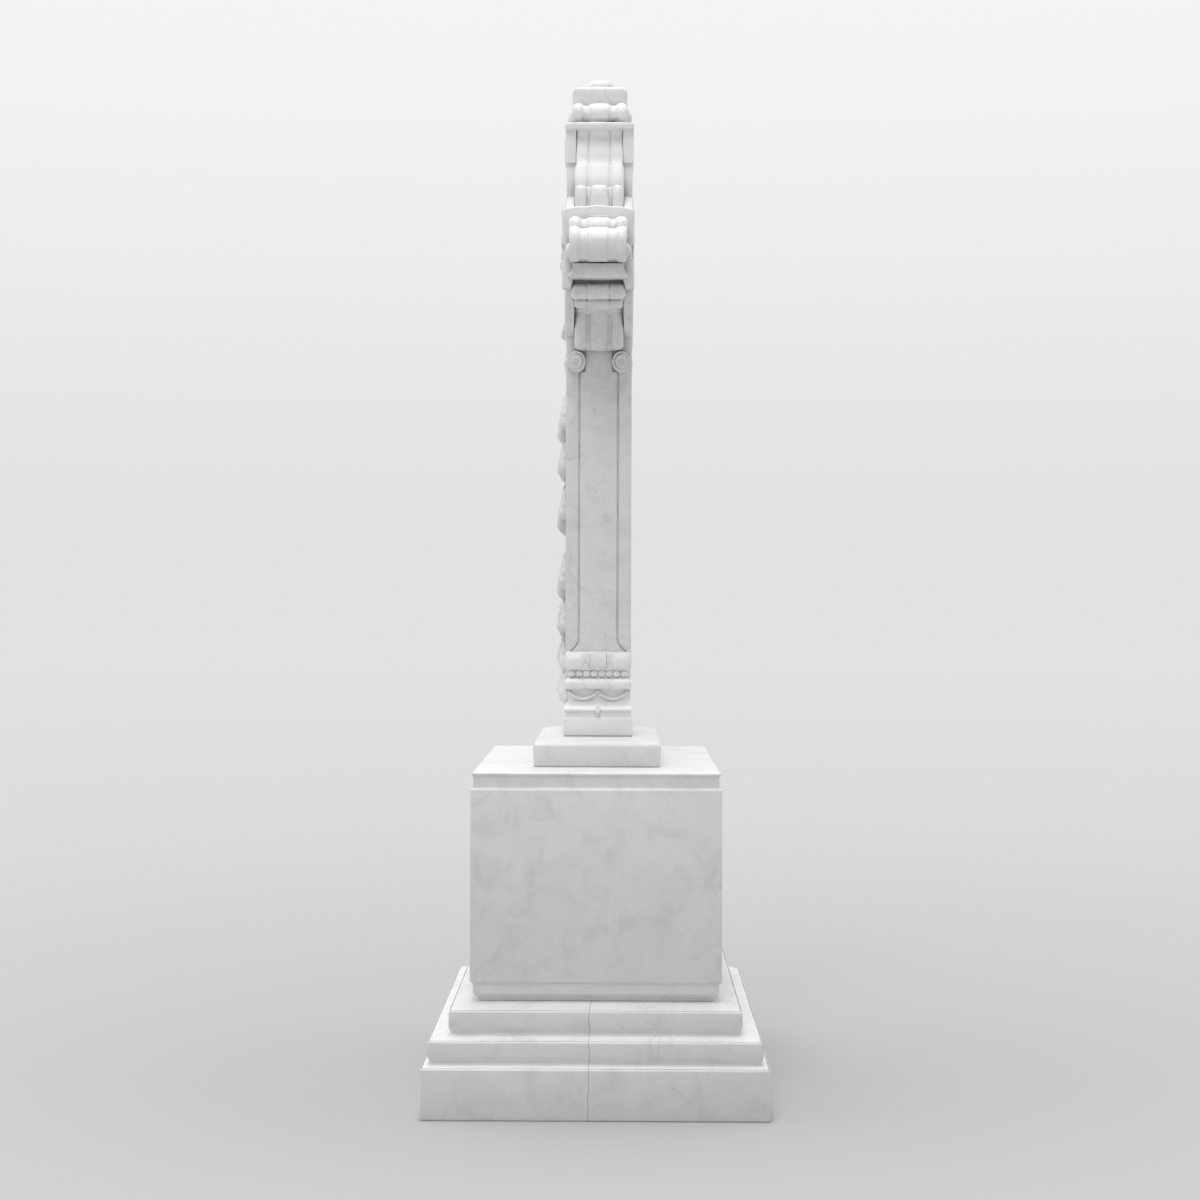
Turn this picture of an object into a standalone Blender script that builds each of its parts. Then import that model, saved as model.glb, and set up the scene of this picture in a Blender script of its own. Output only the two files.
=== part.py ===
"""Ringed cross memorial of pale veined marble, on a slab, a block and three steps.

Metres, +Z up. The front faces -Y and the arms lie along X. The origin is the middle of the underside.
"""
import math

import bmesh
import bpy
from mathutils import Matrix, Vector

# Joint between two stones
JOINT = 0.0003

# Stepped base: half width along X, half depth along Y, rise of each step and of the tread above it
STEP_1_HALF_WIDTH = 0.3400
STEP_1_HALF_DEPTH = 0.2565
STEP_1_RISE = 0.0757
TREAD_1_RISE = 0.0049
STEP_2_HALF_WIDTH = 0.3285
STEP_2_HALF_DEPTH = 0.2465
STEP_2_RISE = 0.0329
TREAD_2_RISE = 0.0089
STEP_3_HALF_WIDTH = 0.3150
STEP_3_HALF_DEPTH = 0.2165
STEP_3_RISE = 0.0338
TREAD_3_RISE = 0.0102
STEP_UNDERCUT = 0.0050
STEP_UNDERCUT_HEIGHT = 0.0080
STEP_EDGE = 0.0040

# Die block: the middle of each side stands out between two margins
DIE_HALF_WIDTH = 0.2980
DIE_HALF_DEPTH = 0.1865
DIE_HEIGHT = 0.3400
DIE_FOOT_HEIGHT = 0.0075
DIE_FOOT_INSET = 0.0120
DIE_MARGIN_INSET = 0.0042
DIE_LOWER_MARGIN = 0.0220
DIE_UPPER_MARGIN = 0.0262
DIE_EDGE = 0.0035

# Slab under the cross
SLAB_HALF_WIDTH = 0.2000
SLAB_HALF_DEPTH = 0.0980
SLAB_HEIGHT = 0.0375
SLAB_EDGE = 0.0070
SLAB_RAISE = 0.0025
SLAB_RAISE_INSET = 0.0150

# Cross foot, from the slab up: block, neck, lower roll, neck, upper roll
FOOT_HALF_WIDTH = 0.0940
FOOT_HALF_DEPTH = 0.0545
FOOT_BLOCK_HEIGHT = 0.0396
FOOT_SLOPE_HEIGHT = 0.0110
LOWER_NECK_HEIGHT = 0.0230
LOWER_ROLL_HEIGHT = 0.0166
LOWER_ROLL_HALF_WIDTH = 0.0850
UPPER_NECK_HEIGHT = 0.0124
UPPER_ROLL_HEIGHT = 0.0300
UPPER_ROLL_HALF_WIDTH = 0.0810
ROLL_HALF_DEPTH = 0.0532
NECK_HALF_WIDTH = 0.0700
NECK_HALF_DEPTH = 0.0476

# Shaft, with a raised panel between two grooves on each side
SHAFT_HALF_WIDTH = 0.0650
SHAFT_HALF_DEPTH = 0.0520
SIDE_PANEL_HALF = 0.0290
SIDE_PANEL_NARROW_HALF = 0.0215
SIDE_PANEL_FLARE_HALF = 0.0420
SIDE_GROOVE_WIDTH = 0.0026
SIDE_GROOVE_DEPTH = 0.0030
SIDE_FLANK_INSET = 0.0014

# Head: height of its centre over the slab, and the ring
HEAD_CENTRE_HEIGHT = 0.7400
RING_RADIUS = 0.1290
RING_HALF_DEPTH = 0.0380
RING_FACE_RADIUS = 0.1250
RING_FACE_HALF_DEPTH = 0.0500
RING_BEAD_RADIUS = 0.1134
RING_BEAD_HALF_WIDTH = 0.0084
RING_BEAD_HALF_DEPTH = 0.0540
RING_INNER_RADIUS = 0.0980
LOBE_GROOVE_AT = 0.0170
LOBE_GROOVE_DEPTH = 0.0035
LOBE_SOFTNESS = 0.0006
INNER_ARM_HALF_WIDTH = 0.0440
INNER_ARM_HALF_DEPTH = 0.0525
PLATE_EDGE = 0.0020

# Outer arms: distances from the head's centre along the arm, half widths across it
SHOULDER_START = 0.0700
SHOULDER_TOP = 0.1320
SHOULDER_ROUND = 0.0150
UPRIGHT_SHOULDER_HALF_WIDTH = 0.0885
UPRIGHT_SHOULDER_HALF_DEPTH = 0.0388
SIDE_SHOULDER_HALF_WIDTH = 0.0735
SIDE_SHOULDER_HALF_DEPTH = 0.0384
SHOULDER_LEAN = 0.0030
BAND_END = 0.1625
BAND_BEVEL = 0.0030
UPRIGHT_BAND_HALF_WIDTH = 0.0770
SIDE_BAND_HALF_WIDTH = 0.0690
BAND_SLOPE = 0.0040
BAND_STEP = 0.0050
ARM_NECK_HALF_WIDTH = 0.0490
ARM_NECK_END = 0.2090
ARM_HALF_DEPTH = 0.0368
FAN_START = 0.1180
FAN_OVERHANG_START = 0.1705
FAN_FOOT_HALF_WIDTH = 0.0425
FAN_LOW_HALF_WIDTH = 0.0490
FAN_HIGH_HALF_WIDTH = 0.0562
FAN_ROOT_DEPTH = 0.0300
FAN_FOOT_HALF_DEPTH = 0.0529
FAN_HALF_DEPTH = 0.0542
CORNICE_START = 0.2205
CORNICE_THICKNESS = 0.0105
CORNICE_HALF_WIDTH = 0.0710
CORNICE_HALF_DEPTH = 0.0545
CORNICE_ARCH = 0.0058
SCROLL_AT = 0.2495
SCROLL_ASIDE = 0.0305
SCROLL_RADIUS = 0.0195
SCROLL_HALF_DEPTH = 0.0443
SCROLL_BELT_HALF = 0.0128
SCROLL_WAIST = 0.0036
CREST_AT = 0.2690
CREST_RADIUS = 0.0268
CREST_HALF_DEPTH = 0.0436
CREST_BELT_HALF = 0.0150
KNOB_AT = 0.2520
KNOB_RADIUS = 0.0160
KNOB_HALF_DEPTH = 0.0500
WEB_INSET = 0.0040

# Top arm's end: a block in place of the crest, and a low dome
CAP_HALF_WIDTH = 0.0262
CAP_HALF_DEPTH = 0.0440
CAP_START = 0.2560
CAP_TOP = 0.2968
CAP_ROUND = 0.0060
DOME_HALF_WIDTH = 0.0200
DOME_HALF_DEPTH = 0.0234
DOME_AT = 0.2980
DOME_RISE = 0.0150

# Small scrolls at the shaft's top, on all four sides
CAPITAL_BELOW_CENTRE = 0.1490
CAPITAL_SCROLL_RADIUS = 0.0150
CAPITAL_SCROLL_ASIDE = 0.0355
CAPITAL_SIDE_REACH = 0.0780
CAPITAL_FACE_REACH = 0.0555
CAPITAL_FACE_ASIDE = 0.0460
SHAFT_TOP_BELOW_CENTRE = 0.1040

# Carving: spiral ribs, leaves and roses
SPIRAL_TURNS = 1.6
SPIRAL_RISE = 0.0030
LEAF_HALF_LENGTH = 0.0240
LEAF_HALF_WIDTH = 0.0115
LEAF_HALF_DEPTH = 0.0055
LEAF_TILT = math.radians(20)
LEAF_SPREAD = math.radians(34)
LEAF_SPACING = 0.0265
SPRAY_LEAF_ROWS = 4
ROSE_RADIUS = 0.0240
ROSE_RISE = 0.0160
ROSETTE_RADIUS = 0.0340
ROSETTE_RISE = 0.0070
UPPER_SPRAY_BELOW_CENTRE = 0.3120
LOWER_SPRAY_BELOW_CENTRE = 0.5500

# Fineness of round stretches
CORNER_POINTS = 2
SCROLL_POINTS = 10
RING_POINTS = 36
BEAD_POINTS = 20
SPIRAL_POINTS = 6
LOBES = 5

# Heights that follow from the sizes above
TREAD_1_TOP = STEP_1_RISE + TREAD_1_RISE
STEP_2_TOP = TREAD_1_TOP + STEP_2_RISE
TREAD_2_TOP = STEP_2_TOP + TREAD_2_RISE
STEP_3_TOP = TREAD_2_TOP + STEP_3_RISE
BASE_TOP = STEP_3_TOP + TREAD_3_RISE
DIE_BOTTOM = BASE_TOP + JOINT
DIE_TOP = DIE_BOTTOM + DIE_HEIGHT
SLAB_BOTTOM = DIE_TOP + JOINT
SLAB_TOP = SLAB_BOTTOM + SLAB_HEIGHT + SLAB_RAISE
CROSS_BOTTOM = SLAB_TOP + JOINT
HEAD_CENTRE = SLAB_TOP + HEAD_CENTRE_HEIGHT
CAPITAL_HEIGHT = HEAD_CENTRE - CAPITAL_BELOW_CENTRE


def clear_scene():
    for item in list(bpy.data.objects):
        bpy.data.objects.remove(item, do_unlink=True)


def make_collection(name):
    collection = bpy.data.collections.new(name)
    bpy.context.scene.collection.children.link(collection)
    return collection


def marble(name, color, roughness):
    material = bpy.data.materials.new(name)
    material.use_nodes = True
    shader = material.node_tree.nodes["Principled BSDF"]
    shader.inputs["Base Color"].default_value = (*color, 1.0)
    shader.inputs["Roughness"].default_value = roughness
    shader.inputs["Metallic"].default_value = 0.0
    return material


def loft(name, rings, collection, split_ends=False):
    """One closed skin through rings of equally many points, with a flat face on each end.

    A winding outline has its end faces split into triangles.
    """
    skin = bmesh.new()
    rows = [[skin.verts.new(point) for point in ring] for ring in rings]
    count = len(rows[0])
    for lower, upper in zip(rows, rows[1:]):
        for i in range(count):
            j = (i + 1) % count
            skin.faces.new((lower[i], lower[j], upper[j], upper[i]))
    ends = [skin.faces.new(list(reversed(rows[0]))), skin.faces.new(rows[-1])]
    if split_ends:
        bmesh.ops.triangulate(skin, faces=ends)
    return finish_skin(name, skin, collection)


def finish_skin(name, skin, collection):
    bmesh.ops.recalc_face_normals(skin, faces=skin.faces)
    mesh = bpy.data.meshes.new(name)
    skin.to_mesh(mesh)
    skin.free()
    item = bpy.data.objects.new(name, mesh)
    collection.objects.link(item)
    return item


def rounded_rectangle(half_x, half_y, corner, z):
    """A level rectangle with rounded corners, counter-clockwise from above."""
    points = []
    for quarter, (sign_x, sign_y) in enumerate(((1, 1), (-1, 1), (-1, -1), (1, -1))):
        for step in range(CORNER_POINTS):
            angle = math.pi / 2 * (quarter + step / (CORNER_POINTS - 1))
            x = sign_x * (half_x - corner) + corner * math.cos(angle)
            y = sign_y * (half_y - corner) + corner * math.sin(angle)
            points.append(Vector((x, y, z)))
    return points


def stack(name, courses, collection):
    """A stone turned out of level outlines, each given as height, half width, half depth and corner."""
    rings = [rounded_rectangle(half_x, half_y, corner, z) for z, half_x, half_y, corner in courses]
    return loft(name, rings, collection)


def inset_outline(outline, inset):
    """The outline moved inwards by the inset, square to its edges."""
    moved = []
    count = len(outline)
    for i in range(count):
        before = (outline[i] - outline[i - 1]).normalized()
        after = (outline[(i + 1) % count] - outline[i]).normalized()
        normal = Vector((-before.y - after.y, before.x + after.x)).normalized()
        reach = inset / max(0.5, normal.dot(Vector((-after.y, after.x))))
        moved.append(outline[i] + normal * reach)
    return moved


def head_plate(name, outline, sections, collection, angle=0.0, split_ends=False):
    """A body with an outline in the head's plane and a profile through its depth.

    The outline is counter-clockwise, across and along an arm, from the head's centre. Each section
    is a depth along Y and the inset there. The angle turns the arm from upright towards +X.
    """
    rings = []
    for depth, inset in sections:
        ring = []
        for point in inset_outline(outline, inset):
            x = point.x * math.cos(angle) + point.y * math.sin(angle)
            z = point.y * math.cos(angle) - point.x * math.sin(angle)
            ring.append(Vector((x, depth, HEAD_CENTRE + z)))
        rings.append(ring)
    return loft(name, rings, collection, split_ends)


def both_ways(half_sections):
    """Sections from the middle outwards, mirrored to run from the front to the back."""
    front = [(-depth, inset) for depth, inset in reversed(half_sections)]
    back = [(depth, inset) for depth, inset in half_sections if depth > 0]
    return front + back


def circle(across, along, radius, count):
    turn = 2 * math.pi / count
    return [Vector((across + radius * math.cos(i * turn), along + radius * math.sin(i * turn)))
            for i in range(count)]


def three_lobes(half_depth):
    """A band of three soft lobes across the stone's depth, with two grooves between them."""
    beside = LOBE_GROOVE_AT / 7
    shoulder = half_depth - (half_depth - LOBE_GROOVE_AT) / 6
    return both_ways([
        (LOBE_GROOVE_AT - beside, LOBE_SOFTNESS),
        (LOBE_GROOVE_AT, LOBE_GROOVE_DEPTH),
        (LOBE_GROOVE_AT + beside, LOBE_SOFTNESS),
        (shoulder, LOBE_SOFTNESS),
        (half_depth, LOBE_GROOVE_DEPTH),
    ])


def flat_edge(half_depth, edge):
    return both_ways([(half_depth - edge, 0.0), (half_depth, edge)])


def spiral_outline(across, along, radius, hand):
    """A rib that winds in from the scroll's rim to its eye. The hand is 1 or -1."""
    steps = SPIRAL_POINTS
    rim = radius * 0.94
    eye = radius * 0.25
    rib = radius * 0.22
    outer = []
    inner = []
    for i in range(steps + 1):
        share = i / steps
        angle = math.pi / 2 + 2 * math.pi * SPIRAL_TURNS * share
        reach = rim + (eye - rim) * share
        width = rib * (1 - 0.35 * share)
        for row, distance in ((outer, reach), (inner, reach - width)):
            row.append(Vector((across + hand * distance * math.cos(angle), along + distance * math.sin(angle))))
    points = outer + list(reversed(inner))
    if hand < 0:
        points.reverse()
    return points


def rib_sections(face, side):
    """A rib on the face at this depth, rooted in the stone. The side is -1 for the front and 1 for the back."""
    root = side * (face - SPIRAL_RISE)
    crown = side * (face + SPIRAL_RISE)
    return ((root, 0.0), (crown, SPIRAL_RISE / 6))


def step_base(collection):
    undercut = STEP_UNDERCUT
    edge = STEP_EDGE
    soft = edge / 3
    courses = [
        (0.0, STEP_1_HALF_WIDTH - soft, STEP_1_HALF_DEPTH - soft, edge),
        (soft, STEP_1_HALF_WIDTH, STEP_1_HALF_DEPTH, edge),
    ]
    steps = (
        (STEP_1_RISE, STEP_1_HALF_WIDTH, STEP_1_HALF_DEPTH, TREAD_1_TOP, STEP_2_HALF_WIDTH, STEP_2_HALF_DEPTH),
        (STEP_2_TOP, STEP_2_HALF_WIDTH, STEP_2_HALF_DEPTH, TREAD_2_TOP, STEP_3_HALF_WIDTH, STEP_3_HALF_DEPTH),
        (STEP_3_TOP, STEP_3_HALF_WIDTH, STEP_3_HALF_DEPTH, BASE_TOP, DIE_HALF_WIDTH, DIE_HALF_DEPTH),
    )
    for top, half_x, half_y, tread_top, next_x, next_y in steps:
        courses.append((top - edge, half_x, half_y, edge))
        courses.append((top - soft, half_x - soft, half_y - soft, edge))
        courses.append((top, half_x - edge, half_y - edge, edge))
        courses.append((tread_top, next_x - undercut, next_y - undercut, edge))
        if tread_top < BASE_TOP:
            courses.append((tread_top + STEP_UNDERCUT_HEIGHT, next_x, next_y, edge))
    return stack("stepped_base", courses, collection)


def die_block(collection):
    margin_x = DIE_HALF_WIDTH - DIE_MARGIN_INSET
    margin_y = DIE_HALF_DEPTH - DIE_MARGIN_INSET
    foot_x = DIE_HALF_WIDTH - DIE_FOOT_INSET
    foot_y = DIE_HALF_DEPTH - DIE_FOOT_INSET
    foot_top = DIE_BOTTOM + DIE_FOOT_HEIGHT
    lower = foot_top + DIE_LOWER_MARGIN
    upper = DIE_TOP - DIE_UPPER_MARGIN
    edge = DIE_EDGE
    courses = [
        (DIE_BOTTOM, foot_x, foot_y, edge),
        (foot_top - edge, foot_x, foot_y, edge),
        (foot_top + edge, margin_x, margin_y, edge),
        (lower - edge, margin_x, margin_y, edge),
        (lower, DIE_HALF_WIDTH, DIE_HALF_DEPTH, edge),
        (upper, DIE_HALF_WIDTH, DIE_HALF_DEPTH, edge),
        (upper + edge, margin_x, margin_y, edge),
        (DIE_TOP - 2 * edge, margin_x, margin_y, edge),
        (DIE_TOP - edge, margin_x + edge / 2, margin_y + edge / 2, edge),
        (DIE_TOP - edge / 3, margin_x, margin_y, edge),
        (DIE_TOP, margin_x - edge, margin_y - edge, edge),
    ]
    return stack("die_block", courses, collection)


def cross_slab(collection):
    edge = SLAB_EDGE
    rim = SLAB_BOTTOM + SLAB_HEIGHT
    inner_x = SLAB_HALF_WIDTH - SLAB_RAISE_INSET
    inner_y = SLAB_HALF_DEPTH - SLAB_RAISE_INSET
    courses = [
        (SLAB_BOTTOM, SLAB_HALF_WIDTH - edge / 4, SLAB_HALF_DEPTH - edge / 4, edge),
        (rim - edge, SLAB_HALF_WIDTH, SLAB_HALF_DEPTH, edge),
        (rim - edge / 3, SLAB_HALF_WIDTH - edge / 3, SLAB_HALF_DEPTH - edge / 3, edge),
        (rim, SLAB_HALF_WIDTH - edge, SLAB_HALF_DEPTH - edge, edge),
        (rim, inner_x, inner_y, edge),
        (SLAB_TOP, inner_x - SLAB_RAISE, inner_y - SLAB_RAISE, edge),
    ]
    return stack("cross_slab", courses, collection)


def roll_courses(bottom, height, half_width, half_depth, inner_width, inner_depth):
    """A soft roll, from its lower neck to its upper one."""
    shares = ((0.0, 0.25), (0.2, 0.85), (0.5, 1.0), (0.8, 0.85), (1.0, 0.25))
    courses = []
    for up, out in shares:
        half_x = inner_width + (half_width - inner_width) * out
        half_y = inner_depth + (half_depth - inner_depth) * out
        courses.append((bottom + height * up, half_x, half_y, STEP_EDGE))
    return courses


def foot_mouldings(parts):
    slope = CROSS_BOTTOM + FOOT_BLOCK_HEIGHT
    neck_1 = slope + FOOT_SLOPE_HEIGHT
    roll_1 = neck_1 + LOWER_NECK_HEIGHT
    neck_2 = roll_1 + LOWER_ROLL_HEIGHT
    roll_2 = neck_2 + UPPER_NECK_HEIGHT
    top = roll_2 + UPPER_ROLL_HEIGHT
    edge = STEP_EDGE
    courses = [
        (CROSS_BOTTOM, FOOT_HALF_WIDTH - edge / 2, FOOT_HALF_DEPTH - edge / 2, edge),
        (CROSS_BOTTOM + edge / 2, FOOT_HALF_WIDTH, FOOT_HALF_DEPTH, edge),
        (slope - edge / 2, FOOT_HALF_WIDTH, FOOT_HALF_DEPTH, edge),
        (slope, FOOT_HALF_WIDTH - edge / 2, FOOT_HALF_DEPTH - edge / 2, edge),
        (neck_1, NECK_HALF_WIDTH + edge, NECK_HALF_DEPTH + edge / 4, edge),
        (roll_1, NECK_HALF_WIDTH, NECK_HALF_DEPTH, edge),
    ]
    courses += roll_courses(roll_1, LOWER_ROLL_HEIGHT, LOWER_ROLL_HALF_WIDTH, ROLL_HALF_DEPTH,
                            NECK_HALF_WIDTH, NECK_HALF_DEPTH)
    courses.append((neck_2 + edge / 2, NECK_HALF_WIDTH, NECK_HALF_DEPTH, edge))
    courses.append((roll_2 - edge / 2, NECK_HALF_WIDTH, NECK_HALF_DEPTH, edge))
    courses += roll_courses(roll_2, UPPER_ROLL_HEIGHT, UPPER_ROLL_HALF_WIDTH, ROLL_HALF_DEPTH,
                            NECK_HALF_WIDTH, NECK_HALF_DEPTH)
    stack("foot_mouldings", courses, parts)
    return top


def shaft_section(panel_half, z):
    """Half a shaft's outline on +X from front to back, then the same on -X from back to front."""
    flank = SHAFT_HALF_WIDTH - SIDE_FLANK_INSET
    groove = SHAFT_HALF_WIDTH - SIDE_GROOVE_DEPTH
    edge = SIDE_GROOVE_DEPTH / 2
    side = [
        (flank - edge, -SHAFT_HALF_DEPTH),
        (flank, edge - SHAFT_HALF_DEPTH),
        (flank, -panel_half - SIDE_GROOVE_WIDTH),
        (groove, -panel_half - SIDE_GROOVE_WIDTH / 2),
        (SHAFT_HALF_WIDTH, -panel_half),
    ]
    side += [(x, -y) for x, y in reversed(side)]
    points = [Vector((x, y, z)) for x, y in side]
    return points + [Vector((-x, -y, z)) for x, y in side]


def shaft(foot_top, parts):
    """The shaft runs from inside the foot's upper roll into the ring."""
    bottom = foot_top - UPPER_ROLL_HEIGHT / 2
    top = HEAD_CENTRE - SHAFT_TOP_BELOW_CENTRE
    narrow = CAPITAL_HEIGHT - CAPITAL_SCROLL_RADIUS
    flare = SIDE_PANEL_FLARE_HALF - SIDE_PANEL_HALF
    rings = [
        shaft_section(SIDE_PANEL_FLARE_HALF, bottom),
        shaft_section(SIDE_PANEL_FLARE_HALF, foot_top + flare / 4),
        shaft_section(SIDE_PANEL_HALF, foot_top + flare * 1.5),
        shaft_section(SIDE_PANEL_HALF, narrow - SIDE_GROOVE_WIDTH),
        shaft_section(SIDE_PANEL_NARROW_HALF, narrow),
        shaft_section(SIDE_PANEL_NARROW_HALF, top),
    ]
    loft("shaft_stone", rings, parts)


def capital_scrolls(parts):
    """Small scrolls under the ring: two on each side face, and two on the front and the back."""
    radius = CAPITAL_SCROLL_RADIUS
    below = -CAPITAL_BELOW_CENTRE
    for hand in (-1, 1):
        disc = circle(hand * CAPITAL_SCROLL_ASIDE, below, radius, SCROLL_POINTS)
        rib = spiral_outline(hand * CAPITAL_SCROLL_ASIDE, below, radius, hand)
        for side in (-1, 1):
            embedded = SHAFT_HALF_WIDTH - 3 * SPIRAL_RISE
            rounding = SPIRAL_RISE / 2
            disc_face = CAPITAL_SIDE_REACH - SPIRAL_RISE
            side_plate("side_scroll", disc, ((embedded, 0), (disc_face, 0), (disc_face + rounding, rounding)),
                       side, parts)
            side_plate("side_scroll_rib", rib, ((embedded + rounding, 0), (CAPITAL_SIDE_REACH, SPIRAL_RISE / 5)),
                       side, parts, True)
        face_disc = circle(hand * CAPITAL_FACE_ASIDE, below, radius, SCROLL_POINTS)
        head_plate("face_scroll", face_disc, flat_edge(CAPITAL_FACE_REACH - SPIRAL_RISE / 2, SPIRAL_RISE / 3), parts)
        face_rib = spiral_outline(hand * CAPITAL_FACE_ASIDE, below, radius, hand)
        front = rib_sections(CAPITAL_FACE_REACH - SPIRAL_RISE / 2, -1)
        head_plate("face_scroll_rib", face_rib, front, parts, 0.0, True)


def side_plate(name, outline, sections, side, collection, split_ends=False):
    """A body with an outline in a side face's plane (along Y and Z) and a profile out along X."""
    rings = []
    for reach, inset in sections:
        ring = [Vector((side * reach, point.x, HEAD_CENTRE + point.y)) for point in inset_outline(outline, inset)]
        rings.append(ring)
    return loft(name, rings, collection, split_ends)


def gap_outline():
    """A pierced gap between two arms, bounded by the ring's inner side, as a quarter at +X and +Z."""
    near = INNER_ARM_HALF_WIDTH
    start = math.asin(near / RING_INNER_RADIUS)
    points = [Vector((near, near))]
    steps = 6
    for i in range(steps + 1):
        angle = start + (math.pi / 2 - 2 * start) * i / steps
        points.append(Vector((RING_INNER_RADIUS * math.cos(angle), RING_INNER_RADIUS * math.sin(angle))))
    return points


def ring_bead(side, parts):
    """A rounded band that runs round the ring's face. The side is -1 for the front and 1 for the back."""
    rise = RING_BEAD_HALF_DEPTH - RING_FACE_HALF_DEPTH
    around = BEAD_POINTS
    across = 4
    bead = bmesh.new()
    rows = []
    for i in range(around):
        angle = 2 * math.pi * i / around
        row = []
        for j in range(across):
            turn = 2 * math.pi * (j + 0.5) / across
            reach = RING_BEAD_RADIUS + RING_BEAD_HALF_WIDTH * math.cos(turn)
            depth = RING_FACE_HALF_DEPTH + rise * math.sin(turn)
            row.append(bead.verts.new((reach * math.cos(angle), side * depth, HEAD_CENTRE + reach * math.sin(angle))))
        rows.append(row)
    for i in range(around):
        for j in range(across):
            k = (i + 1) % around
            m = (j + 1) % across
            bead.faces.new((rows[i][j], rows[k][j], rows[k][m], rows[i][m]))
    finish_skin("ring_bead", bead, parts)


def inner_cross(parts):
    """The equal cross inside the ring, proud of the ring's face."""
    half = INNER_ARM_HALF_WIDTH - LEAF_HALF_DEPTH
    reach = RING_RADIUS - LEAF_HALF_DEPTH
    outline = []
    for quarter in range(4):
        turn = Matrix.Rotation(quarter * math.pi / 2, 2)
        outline += [turn @ Vector(point) for point in ((reach, -half), (reach, half), (half, half))]
    head_plate("inner_cross", outline, flat_edge(INNER_ARM_HALF_DEPTH, PLATE_EDGE), parts)


def mirrored(half):
    """A whole outline from its half on the arm's right, which runs outwards along the arm."""
    points = [Vector(point) for point in half]
    return points + [Vector((-across, along)) for across, along in reversed(half)]


def shoulder(angle, half_width, half_depth, parts):
    """The broad shoulder of one arm against the ring, rounded at its outer end."""
    lean = half_width - SHOULDER_LEAN
    soft = SHOULDER_ROUND * (1 - math.cos(math.pi / 4))
    half = [
        (half_width, SHOULDER_START),
        (lean, SHOULDER_TOP - SHOULDER_ROUND),
        (lean - soft, SHOULDER_TOP - soft),
        (lean - SHOULDER_ROUND, SHOULDER_TOP),
    ]
    head_plate("arm_shoulder", mirrored(half), three_lobes(half_depth), parts, angle)


def arm_core_outline(band):
    """Sloping band, hollow neck and the cove under the cornice."""
    low = band - BAND_SLOPE
    neck_low = low - BAND_STEP
    neck_length = ARM_NECK_END - BAND_END
    cove = CORNICE_START - ARM_NECK_END
    bow = (neck_low - ARM_NECK_HALF_WIDTH) / 2
    return mirrored([
        (band, SHOULDER_TOP - SHOULDER_ROUND),
        (band, SHOULDER_TOP),
        (low, BAND_END - BAND_BEVEL),
        (low - BAND_BEVEL, BAND_END),
        (neck_low, BAND_END + BAND_BEVEL / 2),
        (ARM_NECK_HALF_WIDTH + bow * 0.7, BAND_END + neck_length / 2),
        (ARM_NECK_HALF_WIDTH, ARM_NECK_END),
        (ARM_NECK_HALF_WIDTH + cove / 3, CORNICE_START - cove / 3),
        (ARM_NECK_HALF_WIDTH + cove * 1.3, CORNICE_START + CORNICE_THICKNESS / 3),
    ])


def scroll_sections():
    waist = SCROLL_WAIST
    return both_ways([
        (SCROLL_BELT_HALF, 0.0),
        (SCROLL_BELT_HALF + waist / 2, waist),
        (SCROLL_HALF_DEPTH - 3 * waist, waist),
        (SCROLL_HALF_DEPTH - waist, 0.0),
        (SCROLL_HALF_DEPTH, waist / 2),
    ])


def fan_plates(angle, parts):
    """The fan on the arm's front and back: a narrow foot, and a wider part that overhangs it."""
    top = CORNICE_START + CORNICE_THICKNESS / 4
    foot = mirrored([(FAN_FOOT_HALF_WIDTH, FAN_START), (FAN_FOOT_HALF_WIDTH, FAN_OVERHANG_START + PLATE_EDGE)])
    fan = mirrored([(FAN_LOW_HALF_WIDTH, FAN_OVERHANG_START), (FAN_HIGH_HALF_WIDTH, top)])
    plates = (("fan_foot", foot, FAN_ROOT_DEPTH - PLATE_EDGE, FAN_FOOT_HALF_DEPTH),
              ("arm_fan", fan, FAN_ROOT_DEPTH, FAN_HALF_DEPTH))
    for side in (-1, 1):
        for name, outline, root, half_depth in plates:
            sections = ((root, 0.0), (half_depth - PLATE_EDGE / 2, 0.0), (half_depth, PLATE_EDGE / 2))
            head_plate(name, outline, [(side * depth, inset) for depth, inset in sections], parts, angle)


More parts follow.
